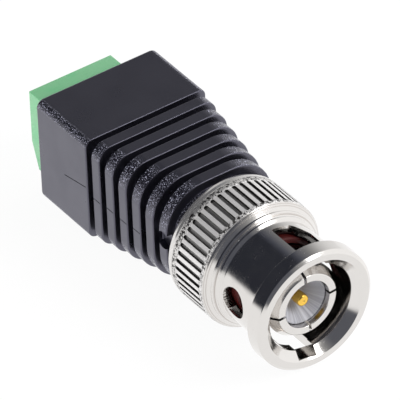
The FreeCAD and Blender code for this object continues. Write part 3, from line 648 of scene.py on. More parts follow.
@dataclass(frozen=True)
class SparkErodedPlastic(Finish):
    """Satin black plastic from an eroded mould: smooth flats, and coarser grain on round corners that glitters through
    bumps and lower roughness, with painted glints.
    """

    corner_grain: float = 0.15
    corner_relief: float = 0.07
    # Painted glint: paler base colour on the proud corner grains, standing for their highlights
    painted_glint: str = "9c9cae"
    dust: str = "9a9aa4"
    sheen: str = "e8e6ff"
    index: float = 1.68

    def dress(self, tree: bpy.types.NodeTree, shader: bpy.types.Node, place: bpy.types.Node) -> None:
        """Adds fine grain, glittering coarse grain on the corners with painted glints, faint clouds and specks of
        dust.
        """
        here = place.outputs["Object"]
        shader.inputs["Specular IOR Level"].default_value = 1.0
        shader.inputs["Specular Tint"].default_value = linear(self.sheen)
        shader.inputs["IOR"].default_value = self.index
        normal = add_node(tree, "ShaderNodeSeparateXYZ", {0: place.outputs["Normal"]}).outputs
        across = sums(tree, "ABSOLUTE", sums(tree, "MULTIPLY", normal[1], normal[2]))
        corner = ramp(tree, across, 0.06, 0.3)
        fine = add_node(tree, "ShaderNodeTexNoise", {
            "Vector": here, "Scale": per_mm(self.grain), "Detail": 3.0})
        coarse = add_node(tree, "ShaderNodeTexNoise", {
            "Vector": here, "Scale": per_mm(self.corner_grain), "Detail": 3.0, "Roughness": 0.75})
        ratio = self.corner_relief / self.relief
        height = sums(tree, "ADD", fine.outputs[0], sums(
            tree, "MULTIPLY", sums(tree, "MULTIPLY", coarse.outputs[0], corner), ratio))
        bump = add_node(tree, "ShaderNodeBump", {"Height": height, "Distance": self.relief * MM})
        tree.links.new(bump.outputs[0], shader.inputs["Normal"])

        clouds = add_node(tree, "ShaderNodeTexNoise", {
            "Vector": here, "Scale": per_mm(3.5), "Detail": 4.0})
        cloudy = ramp(tree, clouds.outputs[0], 0.3, 0.7, self.roughness - 0.04, self.roughness + 0.05)
        tree.links.new(sums(tree, "SUBTRACT", cloudy, sums(tree, "MULTIPLY", corner, 0.14)),
                       shader.inputs["Roughness"])
        # Painted glints: the proud grains on the corners get a paler base colour that stands for the light they catch
        glint_share = sums(tree, "MULTIPLY", ramp(tree, coarse.outputs[0], 0.54, 0.66), corner)
        cells = add_node(tree, "ShaderNodeTexVoronoi", {"Vector": here, "Scale": per_mm(2.6)})
        speck = ramp(tree, cells.outputs["Distance"], 0.012, 0.03, 0.7, 0.0)
        tree.links.new(mixed(tree, speck, mixed(tree, glint_share, self.colour, self.painted_glint), self.dust),
                       shader.inputs["Base Color"])


@dataclass(frozen=True)
class ClearishPlastic(Finish):
    """Moulded plastic that lets a little light in, with slow clouds of colour."""

    cloud: str = "5fa877"
    depth: float = 0.6
    weight: float = 0.2
    index: float = 1.5

    def dress(self, tree: bpy.types.NodeTree, shader: bpy.types.Node, place: bpy.types.Node) -> None:
        """Adds scattering under the skin, clouds and a fine grain."""
        super().dress(tree, shader, place)
        shader.inputs["IOR"].default_value = self.index
        shader.inputs["Subsurface Weight"].default_value = self.weight
        shader.inputs["Subsurface Scale"].default_value = self.depth * MM
        shader.inputs["Subsurface Radius"].default_value = (1.0, 1.0, 1.0)
        clouds = add_node(tree, "ShaderNodeTexNoise", {
            "Vector": place.outputs["Object"], "Scale": per_mm(2.4), "Detail": 1.0})
        tint = add_node(tree, "ShaderNodeMix", {
            "Factor": ramp(tree, clouds.outputs[0], 0.45, 0.75), 6: linear(self.colour),
            7: linear(self.cloud)}, data_type="RGBA")
        tree.links.new(tint.outputs[2], shader.inputs["Base Color"])


@dataclass(frozen=True)
class DrawnPlastic(ClearishPlastic):
    """Milky fluoroplastic turned from rod: waxy, with streaks that run out from the pin."""

    streak: float = 0.16

    def dress(self, tree: bpy.types.NodeTree, shader: bpy.types.Node, place: bpy.types.Node) -> None:
        """Adds the radial streaks to the waxy body."""
        super().dress(tree, shader, place)
        split = add_node(tree, "ShaderNodeSeparateXYZ", {0: place.outputs["Object"]}).outputs
        flat = add_node(tree, "ShaderNodeCombineXYZ", {1: split[1], 2: split[2]})
        spoke = add_node(tree, "ShaderNodeVectorMath", {0: flat.outputs[0]}, operation="NORMALIZE")
        streaks = add_node(tree, "ShaderNodeTexNoise", {
            "Vector": spoke.outputs[0], "Scale": 1 / self.streak, "Detail": 3.0, "Roughness": 0.7})
        lower = ramp(tree, split[2], 0.4 * MM, -0.9 * MM, 0.1, 1.0)
        height = sums(tree, "MULTIPLY", streaks.outputs[0], lower)
        bump = add_node(tree, "ShaderNodeBump", {"Height": height, "Distance": 0.1 * MM, "Strength": 0.7})
        tree.links.new(bump.outputs[0], shader.inputs["Normal"])
        share = sums(tree, "MULTIPLY", ramp(tree, streaks.outputs[0], 0.42, 0.66), lower)
        tree.links.new(mixed(tree, share, self.colour, self.cloud), shader.inputs["Base Color"])


class Finishes:
    """All finishes of the adapter as materials, by slot."""

    def __init__(self) -> None:
        """Builds each material once."""
        plans = {
            # Bright nickel over turned brass: warm white metal with lathe rings, satin on the
            # knurl, rough at the knurl's ends, stained on the shoulder, and with painted shade on the
            # floors and walls of the knurl's grooves, on the walls of the windows and lug grooves
            # (where it also stands for grease) and on the contact behind the windows
            Slot.NICKEL: TurnedPlate(
                "bright_nickel_plate", "dbd8d5", 0.11, 0.08, 0.006, stain_ends=(-9.2, -7.7),
                satin="d0d0d2", satin_bands=(((-13.8, -9.3), 0.42), ((-16.0, -13.8), 0.12)),
                painted_shade=(((-13.7, -9.55), (6.8, 6.92), 0.6), ((-13.7, -9.55), (6.92, 7.16), 1.0),
                       ((-7.6, -4.0), (4.9, 5.5), 0.85), ((-8.4, -4.4), (3.9, 4.3), 0.9)),
                rough_bands=((-9.75, -9.3), (-14.3, -13.6))),
            # Gold flash over brass: warm yellow mirror
            Slot.GOLD: TurnedPlate("gold_flash", "f0c45a", 0.16, 0.08, 0.004, ring_pitch=0.1),
            # Bright tin: soft grey-white metal
            Slot.TIN: TurnedPlate("bright_tin", "cfcdc8", 0.28, 0.1, 0.006),
            # Blue zinc on steel: slightly cold and dull
            Slot.ZINC: TurnedPlate("clear_zinc_plate", "c3c7cc", 0.24, 0.12, 0.008, ring_pitch=0.12),
            # Spring steel: dark grey and smooth
            Slot.SPRING: TurnedPlate("spring_steel", "9a9896", 0.3, 0.1, 0.006),
            # Black ABS from an eroded mould: satin, lighter where the pale floor is mirrored
            Slot.BLACK_PLASTIC: SparkErodedPlastic("satin_black_abs", "0b0b0f", 0.31, 0.07, 0.004),
            # Green polyamide of terminal blocks: satin, lets a little light in
            Slot.GREEN_PLASTIC: ClearishPlastic("green_polyamide", "6ba77b", 0.42, 0.12, 0.003, index=1.85),
            # Fluoroplastic: waxy white that looks grey deep in the mouth
            Slot.INSULATOR: DrawnPlastic(
                "milky_fluoroplastic", "94949a", 0.36, 0.1, 0.01, cloud="b4b4ba", depth=0.4, weight=0.3),
            # Silicone seal: dark red and matt
            Slot.RUBBER: ClearishPlastic(
                "red_silicone_rubber", "3e0908", 0.6, 0.12, 0.004, cloud="2c0606", depth=0.2, weight=0.1),
            # PVC of the red lead
            Slot.RED_PVC: ClearishPlastic("red_soft_pvc", "a81a16", 0.4, 0.1, 0.003, cloud="8e1512"),
            # PVC of the black lead
            Slot.BLACK_PVC: Finish("black_soft_pvc", "1c1c1e", 0.4, 0.1, 0.003),
        }
        self.materials = {slot: plan.material() for slot, plan in plans.items()}

    def __getitem__(self, slot: Slot) -> bpy.types.Material:
        """The material of a slot."""
        return self.materials[slot]


# The plug


@dataclass
class CouplingNut:
    """Turned and knurled bayonet nut. Angles are degrees from +Y towards +Z."""

    finishes: Finishes
    cutter: RingCutter
    length: float = 15.25
    face_r: float = 5.82
    bevel_r: float = 6.53
    collar_r: float = 6.95
    collar_end: float = 1.98
    waist_r: float = 5.85
    waist_end: float = 7.65
    grip_r: float = 7.2
    grip_front: float = 9.3
    rear_r: float = 6.98
    bore_r: float = 4.95
    chamber_r: float = 6.0
    lip: float = 1.35
    lip_r: float = 5.28
    groove_ends: tuple[float, float] = (9.63, 13.64)
    groove_count: int = 50
    groove_width: float = 0.46
    groove_depth: float = 0.34
    channel_angle: float = 79.5
    channel_width: float = 2.2
    channel_r: float = 5.6
    window_angle: float = 80.0
    window_sides: tuple[float, float] = (1.15, 2.5)
    window_ends: tuple[float, float] = (5.3, 7.05)
    lock_angle: float = -2.0
    lock_r: float = 1.68
    lock_place: float = 5.78
    ramp_r: float = 5.62
    ramp_start: float = 4.9
    ramp_width: float = 2.3
    segments: int = 300

    def blank(self) -> Solid:
        """The turned blank: collar, waist, shoulder with its small steps, grip, lip and bore."""
        outline = rounded_path([
            (0, self.face_r, 0.05),
            (0, self.bevel_r, 0.12),
            (-0.3, 6.88, 0.16),
            (-self.collar_end + 0.13, self.collar_r, 0.06),
            (-self.collar_end, self.collar_r - 0.15, 0.05),
            (-self.collar_end, self.waist_r, 0.14),
            (-self.waist_end, self.waist_r, 0.22),
            (-8.0, 6.16, 0.05),
            (-8.14, 6.17, 0.06),
            (-8.52, 6.5, 0.06),
            (-8.68, 6.51, 0.06),
            (-9.08, 7.02, 0.14),
            (-self.grip_front, self.grip_r - 0.03, 0.08),
            (-9.45, self.grip_r, 0.0),
            (-14.72, self.grip_r, 0.3),
            (-self.length, self.rear_r, 0.18),
            (-self.length, self.lip_r, 0.08),
            (-(self.length - self.lip), self.lip_r, 0.04),
            (-(self.length - self.lip), self.chamber_r, 0.04),
            (-self.grip_front, self.chamber_r, 0.04),
            (-self.grip_front, self.bore_r, 0.06),
            (-(self.face_r - self.bore_r), self.bore_r, 0.06),
        ], steps=5, support=0.02)
        return Solid.turned(outline, self.segments)

    def groove_tool(self) -> Solid:
        """Cutter of one knurl groove at +Z: a stadium in plan with a rounded floor."""
        half = self.groove_width / 2
        front, rear = self.groove_ends
        levels = ((0.3, 0.02), (-0.05, 0.0), (-0.8 * self.groove_depth, -0.05),
                  (-self.groove_depth, -0.1))
        rings = []
        for height, inset in levels:
            size = half + inset
            ring = []
            for middle, start in ((-front - half, -90), (-rear + half, 90)):
                for step in range(9):
                    angle = math.radians(start + 180 * step / 8)
                    ring.append((middle + size * math.cos(angle), size * math.sin(angle),
                                 self.grip_r + height))
            rings.append(ring)
        return Solid.lofted(rings)

    def ramp_tool(self) -> Solid:
        """Cutter of one helical lug groove inside, from the window to the locking hole."""
        steps = 36
        rings = []
        for step in range(steps + 1):
            share = step / steps
            angle = math.radians(self.window_angle + share * (self.lock_angle - self.window_angle))
            middle = -(self.ramp_start + share * (self.lock_place - self.ramp_start))
            ring = []
            for x, r in ((-1, 4.1), (1, 4.1), (1, self.ramp_r), (-1, self.ramp_r)):
                ring.append((middle + x * self.ramp_width / 2, r * math.cos(angle), r * math.sin(angle)))
            rings.append(ring)
        return Solid.lofted(rings)

    def radial_tool(self, outline: Sequence[Point2], low: float, high: float, angle: float) -> Solid:
        """Cutter with an outline as places along the axis and across it, at an angle about it.

        Args:
            outline: the places along X, and across the cutter's own direction.
            low: radius where the cutter starts.
            high: radius where it ends.
            angle: its direction about the axis.

        Returns:
            The cutter.
        """
        rings = [[(x, across, height) for x, across in outline] for height in (low, high)]
        return Solid.lofted(rings).turned_by(angle - 90)

    def build(self) -> None:
        """Cuts the grooves, channels, windows, holes and ramps, and hands the nut over."""
        nickel = self.finishes[Slot.NICKEL]
        nut = self.blank()
        self.cutter.use(nut, self.groove_tool(), nickel, self.groove_count)

        half = self.channel_width / 2
        channel = Solid.box((-self.collar_end - 0.3, -half, 3.6), (0.5, half, self.channel_r))
        self.cutter.use(nut, channel.turned_by(self.channel_angle - 90), nickel, 2)
        turn_in, end = self.window_ends
        straight, flared = self.window_sides
        window = self.radial_tool(rounded_path([
            (-self.collar_end, -straight, 0),
            (-self.collar_end, flared, 0),
            (-turn_in, flared, 0.4),
            (0.15 - end, straight, 0.8),
            (-end, -straight, 0.25),
        ], steps=5), 3.6, self.grip_r + 1, self.window_angle)
        self.cutter.use(nut, window, nickel, 2)

        turn = math.radians(self.lock_angle)
        spoke = Vector((0, math.cos(turn), math.sin(turn)))
        centre = Vector((-self.lock_place, 0, 0))
        drill = Solid.round_bar(centre + spoke * 3.6, centre + spoke * (self.grip_r + 1), self.lock_r, 72)
        self.cutter.use(nut, drill, nickel, 2)
        self.cutter.use(nut, self.ramp_tool(), nickel, 2)
        for side in (1, -1):
            self.chatter_marks(nut, spoke * side)
        nut.hand_over("knurled_bayonet_nut", Body.NUT, Slot.NICKEL, nickel, "coupling_nut")

    def chatter_marks(self, nut: Solid, spoke: Vector) -> None:
        """Cuts the fine ribs that the drill left in the rear wall of a locking hole."""
        width, depth, pitch, count = 0.09, 0.06, 9.5, 13
        centre = Vector((-self.lock_place, 0, 0))
        tool = Solid.round_bar(centre + spoke * 4.6, centre + spoke * (self.waist_r + 0.02), width, 12)
        tool.moved(width - depth - self.lock_r, 0, 0)
        self.cutter.use(nut, tool, self.finishes[Slot.NICKEL], count, first=-(count - 1) * pitch / 2,
                        step=pitch, axis=tuple(spoke), centre=tuple(centre))


@dataclass
class PlugCore:
    """What sits inside the nut: contact, insulator, pin, seal and washers."""

    finishes: Finishes
    cutter: RingCutter
    contact_front: float = 1.3
    contact_rear: float = 11.0
    contact_r: float = 4.1
    face_r: float = 3.45
    lip_r: float = 2.65
    bore_r: float = 3.1
    slot_angle: float = 4.0
    slot_width: float = 0.3
    slot_end: float = 6.5
    insulator_front: float = 2.0
    insulator_r: float = 2.6
    funnel_r: float = 2.45
    funnel_depth: float = 1.9
    pin_front: float = 2.0
    pin_r: float = 0.66
    stem_r: float = 1.1
    seal_ends: tuple[float, float] = (6.2, 8.2)
    seal_r: float = 4.8
    wave_plane: float = 12.26
    wave_sheet: float = 0.2
    wave_height: float = 1.0
    wave_radii: tuple[float, float] = (5.3, 5.9)

    def outer_contact(self) -> None:
        """Slotted spring contact with a rolled nose."""
        nickel = self.finishes[Slot.NICKEL]
        front, rear = self.contact_front, self.contact_rear
        contact = Solid.turned(rounded_path([
            (-front, self.lip_r, 0.12),
            (-front, self.face_r, 0.16),
            (-front - 1.0, self.contact_r, 0.5),
            (-rear, self.contact_r, 0.1),
            (-rear, self.bore_r, 0.05),
            (-front - 1.1, self.bore_r, 0.1),
            (-front - 1.1, self.lip_r, 0.05),
        ], steps=6), 200)
        slot = Solid.box((-self.slot_end, -self.slot_width / 2, 1.0), (0, self.slot_width / 2, 5.0))
        self.cutter.use(contact, slot, nickel, 4, first=self.slot_angle)
        contact.hand_over("slotted_spring_contact", Body.ADAPTER, Slot.NICKEL, nickel, "outer_contact")

    def front_insulator(self) -> None:
        """Turned insulator with a funnel that leads onto the pin."""
        hole = self.pin_r + 0.04
        rear = self.contact_rear
        insulator = Solid.turned(rounded_path([
            (-self.insulator_front, self.funnel_r, 0.05),
            (-self.insulator_front, self.insulator_r, 0.03),
            (-rear + 2.5, self.insulator_r, 0),
            (-rear + 2.5, self.bore_r - 0.04, 0),
            (-rear, self.bore_r - 0.04, 0),
            (-rear, hole, 0),
            (-self.insulator_front - self.funnel_depth, hole, 0.05),
            (-self.insulator_front - self.funnel_depth * 0.93, hole + 0.35, 0.3),
        ], steps=6), 160)
        insulator.hand_over("milky_funnel_insulator", Body.ADAPTER, Slot.INSULATOR,
                            self.finishes[Slot.INSULATOR], "front_insulator")

    def centre_pin(self) -> None:
        """Gold pin with a domed, centre-drilled tip and a stem."""
        front = self.pin_front
        end = -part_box("centre_pin")[0].x / MM
        pin = Solid.turned(rounded_path([
            (-front - 0.16, 0, 0),
            (-front, 0.12, 0.03),
            (-front, self.pin_r, 0.42),
            (-front - 1.0, self.pin_r, 0.05),
            (-front - 1.06, self.pin_r - 0.04, 0),
            (-self.contact_rear - 0.04, self.pin_r - 0.04, 0),
            (-self.contact_rear - 0.04, self.stem_r, 0.05),
            (-end, self.stem_r, 0.08),
            (-end, 0.65, 0.05),
            (-end + 2.6, 0.65, 0.1),
            (-end + 2.8, 0, 0),
        ], steps=6), 96)
        pin.hand_over("gold_centre_pin", Body.ADAPTER, Slot.GOLD, self.finishes[Slot.GOLD], "centre_pin")

    def seal(self) -> None:
        """Moulded seal ring with round edges and a shallow waist."""
        front, rear = self.seal_ends
        inner = self.contact_r + 0.05
        ring = Solid.turned(rounded_path([
            (-front, inner, 0.12),
            (-front, self.seal_r, 0.3),
            (-(front + rear) / 2, self.seal_r - 0.06, 0.4),
            (-rear, self.seal_r, 0.3),
            (-rear, inner, 0.12),
        ], steps=6), 160)
        ring.hand_over("red_seal_ring", Body.ADAPTER, Slot.RUBBER, self.finishes[Slot.RUBBER], "gasket")

    def wave_washer(self) -> None:
        """Wavy spring washer, bent once by a Geometry Nodes tree into fixed waves."""
        inner, outer = self.wave_radii
        plane = -self.wave_plane
        flat = Solid.turned(rounded_path([
            (plane, inner, 0.04), (plane, outer, 0.04), (plane - self.wave_sheet, outer, 0.04),
            (plane - self.wave_sheet, inner, 0.04)], steps=2, support=0.02), 144)
        tree = bpy.data.node_groups.new("wave_bender", "GeometryNodeTree")
        for name, kind in {"Piece": "Geometry", "Waves": "Float", "Swing": "Float", "Finish": "Material"}.items():
            tree.interface.new_socket(name, in_out="INPUT", socket_type=f"NodeSocket{kind}")
        tree.interface.new_socket("Piece", in_out="OUTPUT", socket_type="NodeSocketGeometry")
        given = add_node(tree, "NodeGroupInput").outputs
        place = add_node(tree, "GeometryNodeInputPosition")
        split = add_node(tree, "ShaderNodeSeparateXYZ", {0: place.outputs[0]}).outputs
        angle = add_node(tree, "ShaderNodeMath", {0: split[2], 1: split[1]}, operation="ARCTAN2")
        phase = sums(tree, "MULTIPLY", angle.outputs[0], given["Waves"])
        swing = sums(tree, "MULTIPLY", sums(tree, "SUBTRACT", sums(tree, "COSINE", phase), 1.0), given["Swing"])
        offset = add_node(tree, "ShaderNodeCombineXYZ", {0: swing})
        bent = add_node(tree, "GeometryNodeSetPosition", {"Geometry": given["Piece"], "Offset": offset.outputs[0]})
        real = add_node(tree, "GeometryNodeRealizeInstances", {0: bent.outputs[0]})
        dressed = add_node(tree, "GeometryNodeSetMaterial", {"Geometry": real.outputs[0], "Material": given["Finish"]})
        add_node(tree, "NodeGroupOutput", {0: dressed.outputs[0]})
        modifier = flat.obj.modifiers.new("wave_bender", "NODES")
        modifier.node_group = tree
        values = {"Waves": 3.0, "Swing": (self.wave_height - self.wave_sheet) / 2,
                  "Finish": self.finishes[Slot.SPRING]}
        for item in tree.interface.items_tree:
            if item.in_out == "INPUT" and item.name in values:
                modifier[item.identifier] = values[item.name]
        flat.settle()
        piece = flat.hand_over("wavy_spring_washer", Body.ADAPTER, Slot.SPRING,
                               self.finishes[Slot.SPRING], "wave_washer")
        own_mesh(piece)

    def build(self) -> None:
        """Builds the pieces of the plug's core."""
        self.outer_contact()
        self.front_insulator()
        self.centre_pin()
        self.seal()
        self.wave_washer()


# The housing and the block


@dataclass
class Housing:
    """Black moulded housing: smooth grip, six ribs whose corners grow rounder, and a neck."""

    finishes: Finishes
    neck_front: float = 15.6
    rib_pitch: float = 2.085
    rib_width: float = 1.36
    rib_count: int = 6
    smooth_front: float = 28.73
    rear: float = 37.5
    half: float = 7.4
    taper: float = 0.16
    top: float = 6.93
    bottom: float = 5.4
    edge_r: float = 0.85
    first_corner: float = 1.6
    corner_step: float = 0.62
    rib_depth: float = 0.95
    wall_lean: float = 0.05
    sleeve_r: float = 3.74
    sleeve_end: float = 22.6
    gate_place: float = 16.82
    gate_height: float = 1.5
    gate_r: float = 1.0
    gate_depth: float = 0.7
    hollow: tuple[float, float, float] = (4.4, 3.5, 5.63)
    block_half: float = 5.18
    block_top: float = 4.25
    block_front: float = 34.1

    def number_at(self, place: float) -> float:
        """Number of the rib at a distance from the mouth: 0 on the smooth part, blended in the gap's wall."""
        passed = max(0.0, self.smooth_front - place)
        whole = math.floor(passed / self.rib_pitch + 1e-6)
        share = min(1.0, max(0.0, passed - whole * self.rib_pitch) / self.wall_lean)
        return min(whole + share, float(self.rib_count))

    def corner_of(self, number: float) -> float:
        """Corner radius of a rib by its number."""
        if number < 1:
            return self.edge_r + (self.first_corner - self.edge_r) * number
        return self.first_corner + self.corner_step * (number - 1)

    def skin(self) -> Solid:
        """Outer skin through rounded sections along the axis."""
        lean, depth = self.wall_lean, self.rib_depth
        path: list[Corner] = [
            (self.rear, 1.5, 0), (self.rear, 0, 0.28), (self.smooth_front, 0, 0.13)]
        for number in range(1, self.rib_count + 1):
            rib_front = self.smooth_front - self.rib_pitch * number
            rib_rear = rib_front + self.rib_width
            path += [(rib_front + self.rib_pitch - lean, depth, 0.15), (rib_rear + lean, depth, 0.15),
                     (rib_rear, 0, 0.15), (rib_front, 0, 0.13)]
        path += [(path[-1][0] - lean, depth, 0.1), (self.neck_front, depth, 0.1), (self.neck_front, 1.6, 0)]
        rings = []
        for place, inset in rounded_path(path, closed=False, steps=4, support=0.03):
            number = self.number_at(place)
            half = self.half - self.taper * number - inset
            low, high = inset - self.bottom, self.top - inset
            radius = min(max(self.corner_of(number) - inset * 0.5, 0.3), 0.98 * (high - low) / 2)
            rings.append([(-place, y, z) for y, z in rounded_section(half, low, high, radius)])
        return Solid.lofted(rings)

    def parting_marks(self) -> list[Solid]:
        """Cutters of the witness line on the smooth part and of the short ones on the ribs."""
        rear, front = 32.83, 29.0
        heights = {rear: 0.38, front: 1.1}
        width, depth = 0.05, 0.06
        marks = [Solid.lofted([
            [(-place, y, height + z) for y, z in (
                (-self.half - 1, -width), (-self.half + depth, -width),
                (-self.half + depth, width), (-self.half - 1, width))]
            for place, height in heights.items()])]
        for number, height in enumerate((0.3, 0.32, 0.13, 0.15), start=1):
            side = self.half - self.taper * number
            rib_front = self.smooth_front - self.rib_pitch * number
            marks.append(Solid.box((-rib_front - self.rib_width + 0.1, -side - 1, height - width),
                                   (-rib_front - 0.1, -side + depth, height + width)))
        return marks

    def build(self) -> None:
        """Hollows the skin out and hands the housing over."""
        housing = self.skin()
        side = self.half - self.taper * self.rib_count
        spot = Vector((-self.gate_place, 0, self.gate_height))
        out = Vector((0, -1, 0))
        gate = Solid.round_bar(spot + out * (side - self.gate_depth), spot + out * (side + 1), self.gate_r, 40)
        axis = Vector((1, 0, 0))
        bore = Solid.round_bar(-axis * self.sleeve_end, -axis * (self.neck_front - 1), self.sleeve_r, 96)
        across, bottom, high = self.hollow
        wiring = Solid.box((-self.block_front - 0.2, -across, -bottom), (-self.sleeve_end + 0.1, across, high))
        tags = Solid.box((-self.rear + 0.9, -across, 0), (-self.block_front - 0.1, across, high))
        pocket = Solid.box((-self.rear - 1, -self.block_half, -self.bottom - 1),
                           (-self.block_front, self.block_half, self.block_top))
        housing.cut(gate, bore, wiring, tags, pocket, *self.parting_marks())
        housing.hand_over("ribbed_black_housing", Body.ADAPTER, Slot.BLACK_PLASTIC,
                          self.finishes[Slot.BLACK_PLASTIC], "housing")


@dataclass
class TerminalBlock:
    """Green two-pole block with its cages, screws and contact strips."""

    finishes: Finishes
    rear: float = 42.4
    front: float = 34.2
    half: float = 5.08
    top: float = 4.15
    bottom: float = 5.35
    bevel_start: float = 2.2
    bevel: float = 1.05
    pitch: float = 5.08
    screw_place: float = 38.5
    well_length: float = 3.6
    well_width: float = 4.1
    well_top: float = 3.35
    ledge_top: float = 3.4
    ledge: float = 0.5
    entry: tuple[float, float, float] = (3.2, 0.1, 2.9)
    recess_r: float = 1.95
    screw_r: float = 1.3
    head_r: float = 1.8
    head: float = 1.25
    thread_pitch: float = 0.45
    cage_height: float = 4.6
    tag_place: float = 36.0

    def poles(self) -> list[tuple[str, float, Body, Body, str]]:
        """Side, middle, bodies of screw and cage, and contact node of each pole."""
        y = self.pitch / 2
        return [("left", y, Body.SCREW_LEFT, Body.CAGE_LEFT, "signal_contact"),
                ("right", -y, Body.SCREW_RIGHT, Body.CAGE_RIGHT, "ground_contact")]

    def insulating_body(self) -> None:
        """Green body with wells, wire entries and screw recesses."""
        profile = [(-self.rear, self.top), (-self.front, self.top), (-self.front, -self.bottom),
                   (-self.rear + self.bevel, -self.bottom), (-self.rear, -self.bevel_start)]
        rings = [[(x, y, z) for x, z in profile] for y in (-self.half, self.half)]
        body = Solid.lofted(rings).bevelled(0.12, 3)
        well_front = self.screw_place - self.well_length / 2
        width, low, high = self.entry
        for _, y, _, _, _ in self.poles():
            well = Solid.box((-well_front - self.well_length, y - self.well_width / 2, -self.ledge_top),
                             (-well_front, y + self.well_width / 2, self.well_top))
            opening = [(y + a, b) for a, b in rounded_path([
                (-width / 2, low, 0.5), (width / 2, low, 0.5), (width / 2, high, 0.5),
                (-width / 2, high, 0.5)], steps=5)]
            entry = Solid.lofted([[(x, *pair) for pair in opening]
                                  for x in (-self.rear - 0.5, -self.screw_place)])
            flare = Solid.lofted([
                [(x, y + (a - y) * size, (low + high) / 2 + (b - (low + high) / 2) * size)
                 for a, b in opening] for x, size in ((-self.rear - 0.1, 1.16), (-self.rear + 0.35, 0.98))])
            spot = Vector((-self.screw_place, y, 0))
            down = Vector((0, 0, -1))
            recess = Solid.round_bar(spot + down * (self.bottom + 0.5),
                                     spot + down * (self.ledge_top + self.ledge), self.recess_r, 56)
            shank = Solid.round_bar(spot + down * self.bottom, spot, self.screw_r + 0.05, 48)
            strip = Solid.box((-self.screw_place, y - 1.14, -0.35), (-self.tag_place + 0.4, y + 1.14, 0.39))
            tag = Solid.box((-self.tag_place - 0.34, y - 1.14, -0.35), (-self.tag_place + 0.4, y + 1.14, 6))
            body.cut(well, entry, flare, recess, shank, strip, tag)
        body.hand_over("green_terminal_body", Body.ADAPTER, Slot.GREEN_PLASTIC,
                       self.finishes[Slot.GREEN_PLASTIC], "terminal_block_body")

    def screw(self, side: str, y: float, body: Body) -> None:
        """Slotted cheese-head screw that looks down, with its thread as one ridge."""
        head_top = -(self.ledge_top + self.ledge + 0.05)
        head_bottom = head_top - self.head
        tip = -0.3
        core = self.screw_r - 0.2
        screw = Solid.turned(rounded_path([
            (tip, 0, 0), (tip, core, 0.15), (head_top, core, 0), (head_top, self.head_r, 0.1),
            (head_bottom, self.head_r, 0.15), (head_bottom, 0, 0)], steps=4), 64, Around.Z,
            (-self.screw_place, y))
        slot = Solid.box((-self.screw_place - 2.2, y - 0.275, head_bottom - 0.5),
                         (-self.screw_place + 2.2, y + 0.275, head_bottom + 0.65))
        screw.cut(slot)
        screw.fuse(self.thread(y, tip - 0.35, head_top + 0.3))
        screw.hand_over(f"{side}_slotted_screw", body, Slot.ZINC, self.finishes[Slot.ZINC],
                        f"terminal_screw_{side}")

    def thread(self, y: float, high: float, low: float) -> Solid:
        """One helical ridge round the shank, built by a Geometry Nodes tree."""
        turns = (high - low) / self.thread_pitch
        tree = bpy.data.node_groups.new("screw_thread", "GeometryNodeTree")
        for name, kind in {"Turns": "Float", "Radius": "Float", "Length": "Float", "Ridge": "Float",
                           "Finish": "Material"}.items():
            tree.interface.new_socket(name, in_out="INPUT", socket_type=f"NodeSocket{kind}")
        tree.interface.new_socket("Thread", in_out="OUTPUT", socket_type="NodeSocketGeometry")
        given = add_node(tree, "NodeGroupInput").outputs
        path = add_node(tree, "GeometryNodeCurveSpiral", {
            "Resolution": 32, "Rotations": given["Turns"], "Start Radius": given["Radius"],
            "End Radius": given["Radius"], "Height": given["Length"]})
        profile = add_node(tree, "GeometryNodeCurvePrimitiveCircle", {
            "Resolution": 6, "Radius": given["Ridge"]})
        ridge = add_node(tree, "GeometryNodeCurveToMesh", {
            "Curve": path.outputs[0], "Profile Curve": profile.outputs[0], "Fill Caps": True})
        real = add_node(tree, "GeometryNodeRealizeInstances", {0: ridge.outputs[0]})
        dressed = add_node(tree, "GeometryNodeSetMaterial", {
            "Geometry": real.outputs[0], "Material": given["Finish"]})
        add_node(tree, "NodeGroupOutput", {0: dressed.outputs[0]})
        solid = Solid.box((0, 0, 0), (1, 1, 1))
        modifier = solid.obj.modifiers.new("screw_thread", "NODES")
        modifier.node_group = tree
        ridge_r = 0.17
        values = {"Turns": turns, "Radius": self.screw_r - ridge_r, "Length": high - low, "Ridge": ridge_r,
                  "Finish": self.finishes[Slot.ZINC]}
        for item in tree.interface.items_tree:
            if item.in_out == "INPUT" and item.name in values:
                modifier[item.identifier] = values[item.name]
        return solid.settle().moved(-self.screw_place, y, low)

    def cage(self, side: str, y: float, body: Body) -> None:
        """Folded steel cage with a tapped near wall, cut as a plain hole, and a plain clamping wall without its
        ridges.
        """
        high = self.well_top - 0.1
        low = high - self.cage_height
        half = self.well_width / 2 - 0.1
        length = self.well_length / 2 - 0.1
        x = -self.screw_place
        cage = Solid.box((x - length, y - half, low), (x + length, y + half, high)).bevelled(0.14, 3)
        inner = half - 0.55
        hollow = Solid.box((x - length - 1, y - inner, low + 1.0), (x + length + 1, y + inner, high - 0.7))
        spot = Vector((x, y, low - 0.5))
        tapping = Solid.round_bar(spot, spot + Vector((0, 0, 2.0)), self.screw_r + 0.05, 48)
        cage.cut(hollow, tapping)
        cage.hand_over(f"{side}_rising_cage", body, Slot.ZINC, self.finishes[Slot.ZINC],
                       f"clamp_cage_{side}")

    def contact(self, node: str, y: float) -> None:
        """Bent contact strip with a rounded solder pin."""
        low, high = -0.25, 0.35
        pin_front = self.tag_place - 0.3
        tongue = Solid.box((-self.screw_place - 1.5, y - 1.1, low), (-pin_front, y + 1.1, high)).bevelled(0.08)
        pin = Solid.box((-pin_front - 0.6, y - 0.5, low + 0.1), (-pin_front, y + 0.5, self.top + 1.4)).bevelled(0.08)
        tongue.fuse(pin).hand_over(f"{node}_strip", Body.ADAPTER, Slot.TIN, self.finishes[Slot.TIN], node)

    def build(self) -> None:
        """Builds the block and what it holds."""
        self.insulating_body()
        for side, y, screw_body, cage_body, node in self.poles():
            self.screw(side, y, screw_body)
            self.cage(side, y, cage_body)
            self.contact(node, y)


# The room


